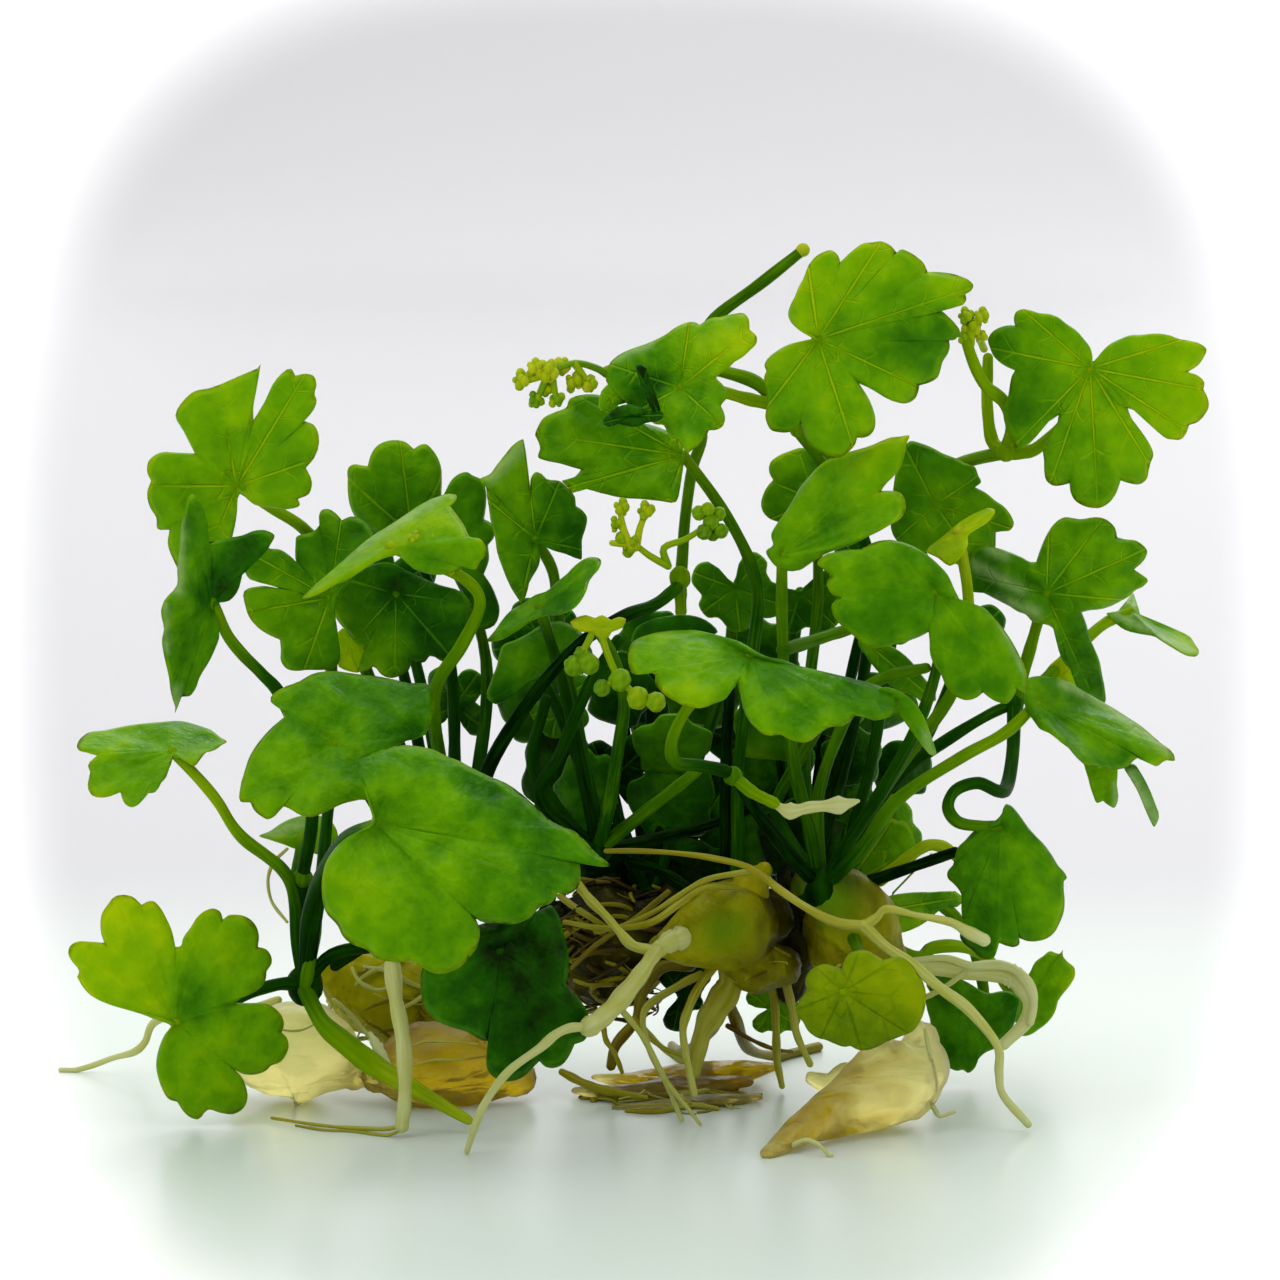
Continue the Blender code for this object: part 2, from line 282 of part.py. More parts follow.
# Stalks and stems: a chain of places from base to tip. A name at the end is the leaf that the stalk bears.
STEMS = {
    "left_crown": {"mass": [(305, 985, -2.5, 1.1, 1.0, 1.3), (303, 878, -2.6, 0.62, 0.62, 0.6),
                           (372, 992, 7.6, 2.7, 1.9, 2.3)], "stalks": [
        [(305, 985, -2.5), (330, 984, 3), (372, 992, 7.6)],
        [(305, 985, -2.5), (296, 945, -2.5), (294, 905, -2.6), (280, 872, -3), (252, 844, -3),
         (218, 808, -2.8),
         "leaf_left_umbrella"],
        [(305, 985, -2.5), (302, 930, -2), (303, 878, -2.6), (312, 820, -4), (308, 760, -5), (282, 698, -6),
         (245, 655, -7), "leaf_left_hanging"],
        [(305, 985, -2.5), (314, 930, -4), (322, 870, -6), (328, 810, -8), "leaf_left_dome"],
        [(305, 985, -2.5), (322, 945, -4.5), (335, 885, -9), (348, 848, -14), "leaf_front_big"],
        [(305, 985, -2.5), (280, 984, -3.6), (250, 993, -4.2), (215, 1008, -4.6), "leaf_low_left"],
        [(305, 985, -2.5), (298, 930, -0.5), (296, 880, 2), "leaf_left_pale"],
        [(305, 985, -2.5), (316, 1022, -4.5), (362, 1058, -6), (400, 1083, -6.8), (468, 1120, -7.5)],
        [(305, 985, -2.5), (332, 955, -3.5), (380, 946, -5), (440, 946, -7), "leaf_shadow"]]},
    "left_runner": {"mass": [(455, 865, 3, 1.0, 0.9, 1.0)], "stalks": [
        [(455, 865, 3), (420, 900, 3), (380, 935, 2), (335, 966, 0.5)],
        [(455, 865, 3), (446, 790, 0), (434, 720, -3), (438, 682, -4.5), (462, 645, -5), (476, 604, -5.5),
         (466, 575, -5.6), (430, 560, -5.2), "leaf_left_slanting"],
        [(455, 865, 3), (440, 780, 5), (420, 680, 5.5), "leaf_left_dark"],
        [(455, 865, 3), (425, 780, 6.5), (345, 705, 5), (330, 655, 1.6), "leaf_left_middle"],
        [(455, 865, 3), (410, 770, 8.5), (362, 660, 8.5), (336, 580, 5), (308, 533, 2), (272, 508, 0),
         "leaf_left_top"],
        [(455, 865, 3), (455, 760, 9), (448, 650, 10), "leaf_left_back"],
        [(455, 865, 3), (478, 770, 7), (486, 660, 7.5), "leaf_left_small"]]},
    "main_stem": {"mass": [(680, 578, 1.2, 0.65, 0.65, 0.75)], "stalks": [
        [(480, 812, -2), (490, 765, -3), (530, 700, -3.6), (576, 647, -3.4), (622, 617, -2), (660, 597, 0),
         (680, 578, 1.2), (685, 520, 3.5), (692, 470, 5), (702, 430, 3.5), "leaf_top_folded"],
        [(680, 578, 1.2), (681, 612, 1.8)],
        [(702, 430, 3.5), (698, 385, 3.6), (702, 345, 3), (715, 318, 2.6), (803, 250, 2)]]},
    "centre_left_stems": {"mass": [(598, 850, 0, 0.9, 0.9, 0.8)], "stalks": [
        [(598, 850, 0), (588, 780, 3), (572, 700, 6), (558, 620, 6), (553, 572, 4), "leaf_mid_left"],
        [(598, 850, 0), (580, 760, 0.3), (562, 680, 0.3), "leaf_mid_diagonal"],
        [(598, 850, 0), (592, 800, 4), (566, 730, 6), "leaf_mid_low"],
        [(598, 850, 0), (608, 810, -2), (618, 750, -3), (624, 700, -3.2), (612, 655, -4), (600, 634, -4.5)],
        [(598, 850, 0), (650, 808, -2), (696, 773, -2.4), (722, 748, -1.5)],
        [(598, 850, 0), (660, 838, 2.5), (730, 818, 4), (775, 790, 6)]]},
    "centre_crown": {"mass": [(725, 925, 0, 3.2, 2.5, 2.9)], "stalks": [
        [(735, 905, 0), (738, 850, 1.5), (738, 770, 2), (752, 660, 2.5), (761, 600, 2.5), (751, 560, 2.8),
         (724, 508, 3.2), "leaf_top_middle"],
        [(705, 900, 0), (660, 872, 1.5), (630, 862, 1.4)]]},
    "right_crown": {"mass": [(822, 890, -0.6, 1.7, 1.6, 1.6), (848, 922, 0.6, 3.0, 2.5, 2.9),
                             (733, 776, -6, 0.6, 0.6, 0.6)], "stalks": [
        [(822, 890, -0.6), (790, 855, -3), (757, 812, -5), (733, 776, -6), (702, 766, -7), (676, 762, -8),
         (673, 740, -9), (690, 705, -10), (720, 680, -11), "leaf_centre_front"],
        [(733, 776, -6), (772, 803, -7), (812, 812, -7.5), (858, 802, -7.5)],
        [(822, 890, -0.6), (810, 830, -1), (795, 770, -1.5), (786, 700, -2), (782, 620, -2.5),
         "leaf_right_light"],
        [(822, 890, -0.6), (808, 820, 2), (806, 720, 5), (818, 600, 9.5), "leaf_right_shaded"],
        [(822, 890, -0.6), (846, 845, -2), (885, 785, -3), (920, 720, -4),
         (940, 650, -5), "leaf_right_middle"],
        [(822, 890, -0.6), (852, 838, 0.2), (897, 770, 0), (948, 700, -1.2), (966, 650, -1.5), (968, 594, 0),
         "leaf_right_young"],
        [(822, 890, -0.6), (860, 850, -4), (897, 800, -5.5), (960, 758, -5.5),
         (1005, 733, -5), "leaf_right_drooping"],
        [(848, 922, 0.6), (856, 945, -4), (858, 960, -10), "leaf_front_round"],
        [(822, 890, -0.6), (865, 882, 0), (955, 852, 1), (985, 843, 1.5)],
        [(848, 922, 0.6), (880, 907, 3), (930, 900, 4.5), (965, 930, 6), (982, 980, 7.5), "leaf_right_low"],
        [(848, 922, 0.6), (912, 954, 2), (950, 956, 4), (990, 966, 7.5),
         (1006, 985, 10.4), "leaf_right_low_back"],
        [(848, 922, 0.6), (846, 905, 5), "leaf_right_olive"]]},
    "right_stem": {"mass": [(1014, 704, 2.8, 0.6, 0.6, 0.65)], "stalks": [
        [(846, 858, 2.6), (874, 808, 2.6), (905, 770, 2.4), (950, 738, 2.4), (990, 714, 2.6),
         (1014, 704, 2.8)],
        [(1014, 704, 2.8), (1024, 670, 3.2), (1036, 628, 3.4), "leaf_right_three"],
        [(1014, 704, 2.8), (1045, 680, 5), (1075, 650, 7), (1104, 624, 9), "leaf_far_right"],
        [(1014, 704, 2.8), (1013, 750, 0), (1010, 786, -3), (998, 790, -5), (978, 782, -6), (956, 790, -6.4),
         (949, 808, -6.6), (960, 824, -6.6), "leaf_right_looped"]]},
    "upper_stem": {"mass": [(778, 405, -1, 0.55, 0.55, 0.55)], "stalks": [
        [(818, 852, 4.5), (845, 760, 8), (866, 660, 7.5), (872, 575, 1.5), (852, 512, 1), (822, 463, 0.5),
         (797, 430, -0.5), (778, 405, -1)],
        [(797, 430, -0.5), (795, 400, -1), (803, 365, -2.4), "leaf_top_big"],
        [(778, 405, -1), (752, 400, -0.8), (724, 392, -0.6), (706, 385, -0.2)],
        [(778, 405, -1), (757, 383, 0), (725, 372, 0.8), (690, 364, 1.4), (640, 360, 1.8), (606, 372, 1.2)]]},
    "top_right_stem": {"mass": [(1006, 452, 2, 0.6, 0.6, 0.6)], "stalks": [
        [(1006, 452, 2), (1040, 446, 2.2), (1066, 420, 2.2), "leaf_right_star"],
        [(1006, 452, 2), (1012, 425, 1.8), (1004, 402, 1.2), (984, 384, 0), (973, 356, -0.6)],
        [(1006, 452, 2), (992, 440, 3), (987, 400, 3), (988, 358, 2.4)],
        [(1006, 452, 2), (960, 464, 6), (925, 490, 8.5), (908, 560, 11), (888, 660, 10), (872, 760, 6.5),
         (852, 830, 5)],
        [(925, 490, 8.5), (930, 500, 6), "leaf_right_dark"]]},
    "back_stem_left": {"mass": [(440, 885, 9, 0.8, 0.8, 0.8)], "stalks": [
        [(440, 885, 9), (425, 780, 13), (405, 680, 15.5), "back_leaf_1"],
        [(440, 885, 9), (400, 840, 12), (365, 790, 13.5), "back_leaf_2"],
        [(440, 885, 9), (446, 865, 14), "back_leaf_3"],
        [(440, 885, 9), (452, 800, 11), "back_leaf_12"],
        [(440, 885, 9), (490, 900, 9.4), (525, 905, 9.8)]]},
    "back_stem_centre": {"mass": [(650, 900, 8, 0.9, 0.9, 0.9), (612, 935, 7.6, 3.0, 2.2, 3.4)], "stalks": [
        [(650, 900, 8), (628, 850, 11), "back_leaf_13"],
        [(650, 900, 8), (685, 860, 11), "back_leaf_14"],
        [(650, 900, 8), (664, 945, 8.6), "back_leaf_16"],
        [(650, 900, 8), (610, 800, 10), (580, 740, 11), "back_leaf_4"],
        [(650, 900, 8), (690, 780, 11), (725, 680, 12), "back_leaf_5"],
        [(650, 900, 8), (660, 830, 15), (680, 770, 17.5), "back_leaf_6"],
        [(650, 900, 8), (600, 820, 14), (560, 720, 16.5), "back_leaf_7"]]},
    "back_stem_right": {"mass": [(800, 915, 8, 0.9, 0.9, 0.9)], "stalks": [
        [(800, 915, 8), (784, 860, 11.5), "back_leaf_15"],
        [(800, 915, 8), (788, 960, 7.6), "back_leaf_17"],
        [(800, 915, 8), (790, 800, 11), (792, 670, 12.5), "back_leaf_8"],
        [(800, 915, 8), (820, 800, 14), (850, 680, 18), "back_leaf_9"],
        [(800, 915, 8), (870, 830, 13), (930, 730, 17), "back_leaf_10"],
        [(800, 915, 8), (825, 850, 15), (845, 790, 17), "back_leaf_11"]]},
}

# Flower heads and fruits: pedicels, then round buds with a radius in mm.
UMBELS = {
    "umbel_top_left": {"stalks": [[(596, 374, 0.8), (575, 364, 0.2), (552, 374, -0.4)],
                                  [(575, 364, 0.2), (590, 385, 0.4)], [(548, 374, -0.5), (524, 382, -0.6)],
                                  [(548, 374, -0.5), (536, 402, -0.4)], [(552, 374, -0.4), (556, 398, -0.6)]],
                       "buds": [(548, 374, -0.5, 0.95), (524, 382, -0.6, 0.62), (536, 402, -0.4, 0.5),
                                (556, 398, -0.6, 0.5), (590, 385, 0.4, 0.6), (560, 366, 0.4, 0.6)]},
    "umbels_centre": {"stalks": [[(668, 566, -0.6), (650, 556, -1), (636, 545, -1.2)],
                                 [(668, 566, -0.6), (664, 548, -0.8), (686, 539, -0.8), (706, 526, -1)],
                                 [(631, 547, -1.4), (620, 512, -1.2)], [(637, 543, -1), (646, 512, -1.2)],
                                 [(633, 545, -1.3), (612, 543, -1.2)]],
                      "buds": [(632, 545, -1.2, 0.75), (620, 512, -1.2, 0.55), (646, 512, -1.2, 0.5),
                               (612, 543, -1.2, 0.45), (711, 521, -1, 0.95), (698, 512, -1, 0.45),
                               (722, 530, -1, 0.5), (704, 534, -1.4, 0.45)]},
    "umbel_top_right": {"stalks": [[(971, 344, -0.7), (972, 330, -0.8)],
                                   [(984, 349, 2), (978, 336, 0), (972, 330, -0.8)]],
                        "buds": [(972, 330, -0.8, 0.75), (982, 318, -0.6, 0.6), (966, 316, -0.8, 0.55),
                                 (981, 335, -0.3, 0.5), (964, 338, -0.8, 0.45)]},
    "fruits_middle": {"stalks": [[(598, 622, -5.4), (584, 650, -5.6), (574, 666, -5.8)],
                                 [(584, 650, -5.6), (589, 664, -5.9)],
                                 [(598, 622, -5.4), (619, 678, -5.8), (640, 697, -6.2), (656, 701, -6.4)],
                                 [(619, 678, -5.8), (602, 688, -5.8)]],
                      "buds": [(582, 624, -5.4, 0.75), (612, 622, -5.4, 0.75), (574, 666, -5.8, 0.6),
                               (589, 664, -5.9, 0.62), (619, 678, -5.8, 0.66), (640, 697, -6.2, 0.62),
                               (656, 701, -6.4, 0.55), (602, 688, -5.8, 0.5)]},
}

# Roots: chains of places with the radius in mm at the base and at the tip.
ROOTS = {
    "root_left_white": [([(392, 966, -5.8), (396, 1000, -7.4), (403, 1040, -8.6), (405, 1090, -9),
                          (402, 1126, -9)], 0.5, 0.42),
                        ([(402, 1126, -9), (380, 1129, -8), (327, 1126, -6.8), (272, 1118, -4.8)], 0.3, 0.2)],
    "root_front_long": [([(583, 886, -4), (610, 915, -4.5), (645, 944, -5), (617, 1003, -9),
                          (588, 1026, -12.6)], 0.5, 0.55),
                        ([(588, 1026, -12.6), (543, 1040, -14), (510, 1070, -15), (480, 1112, -14.4),
                          (467, 1151, -13.4)], 0.42, 0.3),
                        ([(645, 944, -5), (668, 938, -4)], 0.6, 0.7)],
    "root_right_long": [([(606, 851, -3.5), (674, 853, -4), (750, 868, -5.4), (807, 908, -7.6),
                          (864, 926, -8)],
                         0.32, 0.36),
                        ([(864, 926, -8), (910, 963, -7.6), (968, 1009, -7.2), (997, 1045, -7),
                          (1001, 1096, -7.5), (1028, 1124, -7.6)], 0.36, 0.24),
                        ([(864, 926, -8), (887, 910, -8), (950, 922, -8.2), (984, 940, -8.8)], 0.36, 0.22)],
    "root_loop": [([(908, 966, -0.5), (955, 968, -1.5), (1005, 972, -2), (1031, 996, -2.4),
                    (1030, 1020, -2.6), (1006, 1044, -3)], 0.5, 0.48)],
    "root_far_left": [([(278, 1000, 4), (238, 1012, 6), (190, 1012, 7), (155, 1022, 7.8), (134, 1052, 8.2),
                        (113, 1058, 8.5), (88, 1067, 8.8), (61, 1073, 9)], 0.3, 0.24)],
    "centre_roots": [([(722, 985, 1), (704, 1020, 0), (697, 1050, -0.5), (694, 1072, -0.6)], 0.8, 0.5),
                     ([(722, 985, 1), (690, 1000, -1), (688, 1050, -3.5), (694, 1094, -4.4)], 0.4, 0.28),
                     ([(722, 985, 1), (680, 990, 2), (645, 1010, 1), (662, 1075, -4),
                      (700, 1124, -6.2)], 0.4, 0.2),
                     ([(722, 985, 1), (670, 985, 4), (640, 1000, 4), (614, 1040, 3.8),
                      (613, 1062, 3.6)], 0.45, 0.35),
                     ([(722, 985, 1), (773, 993, 3), (777, 1060, 3.5), (782, 1086, 3.4)], 0.35, 0.25),
                     ([(722, 985, 1), (716, 1022, 5), (694, 1046, 10), (672, 1052, 15.5)], 0.4, 0.3),
                     ([(722, 985, 1), (735, 1018, 4), (748, 1048, 8), (778, 1056, 12), (818, 1052, 15)],
                      0.4, 0.3)],
}

# The root mat is a lump flat at the floor, with its half sizes in mm. The gel pieces are cones along chains
# of places, with their radii in mm.
GEL_LEFT_CHAIN = [(262, 1072, 1.5), (290, 1064, 0.6), (335, 1060, 0.4), (392, 1072, 0), (440, 1080, -1),
                  (482, 1092, -2)]
GEL_LEFT_RADII = (1.6, 3.4, 3.9, 3.0, 2.4, 1.4)
ROOT_MAT = (672, 1092, 1.5, 6.6, 5.2, 1.0)
GEL_RIGHT_CHAIN = [(916, 1056, -4), (906, 1074, -4.6), (872, 1091, -6.5), (828, 1112, -9), (795, 1132, -11.5),
                   (768, 1153, -14)]
GEL_RIGHT_RADII = (1.4, 2.4, 2.3, 1.25, 0.8, 0.4)

COLOURS = {
    "leaf": ((0.10, 0.36, 0.01), 0.35),
    "stem": ((0.12, 0.30, 0.01), 0.4),
    "flower": ((0.42, 0.55, 0.03), 0.5),
    "root": ((0.55, 0.50, 0.25), 0.4),
    "gel": ((0.75, 0.68, 0.35), 0.15),
}


def seen(column, row, depth):
    """The point at this place of the front view that lies this many millimetres behind the origin."""
    forward = Vector((0, math.cos(LOOK_DOWN), -math.sin(LOOK_DOWN)))
    upward = Vector((0, math.sin(LOOK_DOWN), math.cos(LOOK_DOWN)))
    eye = VIEW_CENTRE - EYE_DISTANCE * forward
    ray = EYE_DISTANCE * forward + COLUMN * ((column - MIDDLE) * Vector((1, 0, 0)) + (MIDDLE - row) * upward)
    return eye + ray * ((depth * MM - eye.y) / ray.y)


def hub_of(leaf):
    return seen(*leaf["hub"])


def arms_of(leaf):
    """The vectors from the hub to the lobe tips."""
    depth = leaf["hub"][2]
    return [seen(x, y, depth + behind) - hub_of(leaf) for x, y, behind in leaf["tips"]]


def blade_normal(leaf):
    arms = arms_of(leaf)
    total = Vector()
    for one, other in zip(arms, arms[1:]):
        total += one.cross(other)
    return total.normalized()


def lean_at(leaf, turn):
    """How far a spoke at this angle leans back for each column of its length, from the tips on both sides."""
    column, row, depth = leaf["hub"]
    marks = sorted((math.atan2(y - row, x - column), behind / math.hypot(x - column, y - row))
                   for x, y, behind in leaf["tips"])
    first, last = marks[0], marks[-1]
    marks = [(last[0] - 2 * math.pi, last[1]), *marks, (first[0] + 2 * math.pi, first[1])]
    for (low, one), (high, other) in zip(marks, marks[1:]):
        if low <= turn <= high:
            return one + (other - one) * (turn - low) / (high - low)
    return first[1]


def rim_of(leaf):
    column, row, depth = leaf["hub"]
    rim = []
    for x, y in leaf["rim"]:
        behind = lean_at(leaf, math.atan2(y - row, x - column)) * math.hypot(x - column, y - row)
        rim.append(seen(x, y, depth + behind))
    return rim


def back_leaf(name):
    """A plain lobed leaf in the same form as the others: two places for each lobe and a notch after it."""
    hub, tips = BACK_LEAVES[name]
    column, row, depth = hub
    arms = [(x - column, y - row) for x, y, behind in tips]
    rim = [(column + BACK_SINUS_SHARE * (arms[0][0] + arms[-1][0]),
            row + BACK_SINUS_SHARE * (arms[0][1] + arms[-1][1]))]
    for number, (across, down) in enumerate(arms):
        for turn in (-BACK_LOBE_TURN, BACK_LOBE_TURN):
            rim.append((column + across * math.cos(turn) - down * math.sin(turn),
                        row + across * math.sin(turn) + down * math.cos(turn)))
        if number < len(arms) - 1:
            rim.append((column + BACK_NOTCH_SHARE * (across + arms[number + 1][0]),
                        row + BACK_NOTCH_SHARE * (down + arms[number + 1][1])))
    return {"hub": hub, "tips": tips, "rim": rim}


def collection_of(name, hidden=False):
    made = bpy.data.collections.new(name)
    bpy.context.scene.collection.children.link(made)
    made.hide_render = hidden
    return made


def material_of(kind):
    """The colour and gloss shared by all the pieces of one kind."""
    known = bpy.data.materials.get(kind)
    if known:
        return known
    colour, roughness = COLOURS[kind]
    made = bpy.data.materials.new(kind)
    made.use_nodes = True
    surface = made.node_tree.nodes["Principled BSDF"]
    surface.inputs["Base Color"].default_value = (*colour, 1)
    surface.inputs["Roughness"].default_value = roughness
    surface.inputs["Metallic"].default_value = 0
    return made


def add_object(name, mesh, kind, collection):
    made = bpy.data.objects.new(name, mesh)
    mesh.materials.clear()
    mesh.materials.append(material_of(kind))
    collection.objects.link(made)
    if collection.hide_render:
        made.hide_render = True
        made.display_type = "WIRE"
    return made


def add_blade(name, leaf, collection):
    """A fan of triangles from the hub to the rim, given its thickness."""
    shape = bmesh.new()
    hub = shape.verts.new(hub_of(leaf))
    rim = [shape.verts.new(place) for place in rim_of(leaf)]
    for one, other in zip(rim, rim[1:] + rim[:1]):
        shape.faces.new((hub, one, other))
    mesh = bpy.data.meshes.new(name)
    shape.to_mesh(mesh)
    shape.free()
    mesh.shade_smooth()
    made = add_object(name, mesh, "leaf", collection)
    thickness = made.modifiers.new("thickness", "SOLIDIFY")
    thickness.thickness = BLADE_THICK
    thickness.offset = 0
    return made


def stalk_end(leaf, before, embedded):
    """Where a stalk meets the back of its blade: a clearance short of it, or just inside it."""
    hub = hub_of(leaf)
    normal = blade_normal(leaf)
    side = 1 if (before - hub).dot(normal) > 0 else -1
    gap = 0 if embedded else BLADE_THICK / 2 + CLEARANCE
    back = (before - hub).normalized() * (0 if embedded else STALK_RADIUS)
    return hub + side * normal * gap + back


def smooth_chain(points, each=2):
    """A Catmull-Rom curve through the points, with this many steps from one point to the next."""
    ends = [2 * points[0] - points[1], *points, 2 * points[-1] - points[-2]]
    path = []
    for a, b, c, d in zip(ends, ends[1:], ends[2:], ends[3:]):
        for step in range(each):
            t = step / each
            path.append(0.5 * (2 * b + (c - a) * t + (2 * a - 5 * b + 4 * c - d) * t ** 2
                               + (3 * b - a - 3 * c + d) * t ** 3))
    path.append(points[-1])
    return path


def add_tube(name, path, radii, kind, collection, roundness=0):
    """A tube along the path, closed at both ends, as a mesh. Its roundness is 0 for four sides."""
    data = bpy.data.curves.new(name + "_line", "CURVE")
    data.dimensions = "3D"
    data.bevel_depth = 1
    data.bevel_resolution = roundness
    data.use_fill_caps = True
    line = data.splines.new("POLY")
    line.points.add(len(path) - 1)
    for spot, place, radius in zip(line.points, path, radii):
        spot.co = (*place, 1)
        spot.radius = radius
    curve = bpy.data.objects.new(name + "_line", data)
    bpy.context.scene.collection.objects.link(curve)
    bpy.context.view_layer.update()
    graph = bpy.context.evaluated_depsgraph_get()
    mesh = bpy.data.meshes.new_from_object(curve.evaluated_get(graph))
    bpy.data.objects.remove(curve)
    shape = bmesh.new()
    shape.from_mesh(mesh)
    bmesh.ops.remove_doubles(shape, verts=shape.verts, dist=WELD)
    bmesh.ops.recalc_face_normals(shape, faces=shape.faces)
    shape.to_mesh(mesh)
    shape.free()
    mesh.name = name
    return add_object(name, mesh, kind, collection)


def add_lump(name, lump, kind, collection, fineness=1):
    """A round or oval mass at a place, its half sizes in mm."""
    column, row, depth, *sizes = lump
    place = seen(column, row, depth)
    shape = bmesh.new()
    bmesh.ops.create_icosphere(shape, subdivisions=fineness, radius=1)
    for vertex in shape.verts:
        vertex.co = place + Vector([size * MM * share for size, share in zip(sizes, vertex.co)])
    mesh = bpy.data.meshes.new(name)
    shape.to_mesh(mesh)
    shape.free()
    mesh.shade_smooth()
    return add_object(name, mesh, kind, collection)


def join_shapes(name, shapes, plant, kind):
    """One closed body from shapes that run into each other."""
    whole = shapes[0]
    whole.name = name
    for collection in whole.users_collection:
        collection.objects.unlink(whole)
    plant.objects.link(whole)
    whole.hide_render = False
    whole.display_type = "TEXTURED"
    for number, other in enumerate(shapes[1:]):
        union = whole.modifiers.new(f"union_{number}", "BOOLEAN")
        union.operation = "UNION"
        union.solver = "EXACT"
        union.object = other
    return whole


def add_stem(name, stem, plant, helpers, leaves):
    """A crown or fork with its stalks. Each stalk ends at its leaf's hub."""
    shapes = []
    for number, mass in enumerate(stem["mass"]):
        shapes.append(add_lump(f"{name}_mass_{number}", mass, "stem", helpers))
    for number, chain in enumerate(stem["stalks"]):
        points = [seen(*place) for place in chain if not isinstance(place, str)]
        if isinstance(chain[-1], str):
            joined = chain[-1] in BACK_LEAVES
            leaf = back_leaf(chain[-1]) if joined else leaves[chain[-1]]
            points.append(stalk_end(leaf, points[-1], joined))
            if joined:
                shapes.append(add_blade(chain[-1], leaf, helpers))
        path = smooth_chain(points, 2 if len(points) < FEW_POINTS else 1)
        steps = len(path) - 1
        radii = [STALK_RADIUS * (1 - (1 - STALK_TIP_SHARE) * i / steps) for i in range(steps + 1)]
        shapes.append(add_tube(f"{name}_stalk_{number}", path, radii, "stem", helpers))
    return join_shapes(name, shapes, plant, "stem")


def add_umbel(name, umbel, plant, helpers):
    shapes = []
    for number, chain in enumerate(umbel["stalks"]):
        path = smooth_chain([seen(*place) for place in chain], 1)
        radii = [PEDICEL_RADIUS] * len(path)
        shapes.append(add_tube(f"{name}_stalk_{number}", path, radii, "flower", helpers))
    for number, bud in enumerate(umbel["buds"]):
        shapes.append(add_lump(f"{name}_bud_{number}", (*bud, bud[-1], bud[-1]), "flower", helpers))
    return join_shapes(name, shapes, plant, "flower")


def add_roots(name, chains, plant, helpers):
    shapes = []
    for number, (chain, thick, thin) in enumerate(chains):
        path = smooth_chain([seen(*place) for place in chain], 1)
        steps = len(path) - 1
        radii = [(thick + (thin - thick) * i / steps) * MM for i in range(steps + 1)]
        for i, place in enumerate(path):
            place.z = max(place.z, radii[i])
        shapes.append(add_tube(f"{name}_root_{number}", path, radii, "root", helpers))
    return join_shapes(name, shapes, plant, "root")


def rest_on_floor(made):
    """Flattens the underside where it would sink below the floor."""
    for vertex in made.data.vertices:
        vertex.co.z = max(vertex.co.z, 0)


def main():
    for old in list(bpy.data.objects):
        bpy.data.objects.remove(old)
    plant = collection_of("pennywort")
    helpers = collection_of("joined_shapes", hidden=True)
    for name, leaf in LEAVES.items():
        add_blade(name, leaf, plant)
    for name, stem in STEMS.items():
        add_stem(name, stem, plant, helpers, LEAVES)
    for name, umbel in UMBELS.items():
        add_umbel(name, umbel, plant, helpers)
    for name, chains in ROOTS.items():
        add_roots(name, chains, plant, helpers)
    rest_on_floor(add_lump("root_mat", ROOT_MAT, "root", plant, fineness=2))
    for name, chain, radii in (("gel_left", GEL_LEFT_CHAIN, GEL_LEFT_RADII),
                               ("gel_right", GEL_RIGHT_CHAIN, GEL_RIGHT_RADII)):
        path = [seen(*place) for place in chain]
        rest_on_floor(add_tube(name, path, [r * MM for r in radii], "gel", plant, roundness=2))


main()
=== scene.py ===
# A clump of small three-lobed pennywort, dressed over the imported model. Metres, +Z up, front towards -Y.
import math

import bpy
import numpy as np
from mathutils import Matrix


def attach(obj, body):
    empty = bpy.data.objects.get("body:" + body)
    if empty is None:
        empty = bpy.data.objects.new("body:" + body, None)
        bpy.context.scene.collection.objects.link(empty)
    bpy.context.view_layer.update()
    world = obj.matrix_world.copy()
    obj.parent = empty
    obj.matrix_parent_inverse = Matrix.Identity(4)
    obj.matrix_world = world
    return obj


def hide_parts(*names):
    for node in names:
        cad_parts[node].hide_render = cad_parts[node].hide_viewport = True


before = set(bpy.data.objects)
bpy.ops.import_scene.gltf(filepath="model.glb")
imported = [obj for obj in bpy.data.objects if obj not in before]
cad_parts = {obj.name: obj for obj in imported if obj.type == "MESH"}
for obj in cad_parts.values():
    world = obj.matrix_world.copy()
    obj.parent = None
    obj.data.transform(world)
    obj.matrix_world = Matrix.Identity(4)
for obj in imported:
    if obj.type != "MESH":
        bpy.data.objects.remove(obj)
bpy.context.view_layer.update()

# Places are columns and rows of the front view, with a depth in mm behind the origin.
view = dict(width=1280, column=0.00006, middle=640, lookDown=math.radians(9), eyeDistance=0.42, centre=(0, 0, 0.0285))
mm = 0.001
columnMm = view["column"] / mm
goldenTurn = 2.39996
forward = np.array([0, math.cos(view["lookDown"]), -math.sin(view["lookDown"])])
upward = np.array([0, math.sin(view["lookDown"]), math.cos(view["lookDown"])])
eye = np.array(view["centre"]) - view["eyeDistance"] * forward


# Tables are written as text: numbers parted by spaces, places by ",", the parts of a row by ";" and rows by "/".
def numbers(text):
    return [float(value) for value in text.split()]


def spots(text):
    return [tuple(numbers(spot)) for spot in text.split(",") if spot.strip()]


# The rows of a table, each part read by the kind in its turn. The last parts of a row may be left out.
def tableOf(text, *kinds):
    return [[kind(part) for kind, part in zip(kinds, row.split(";"))] for row in text.split("/")]


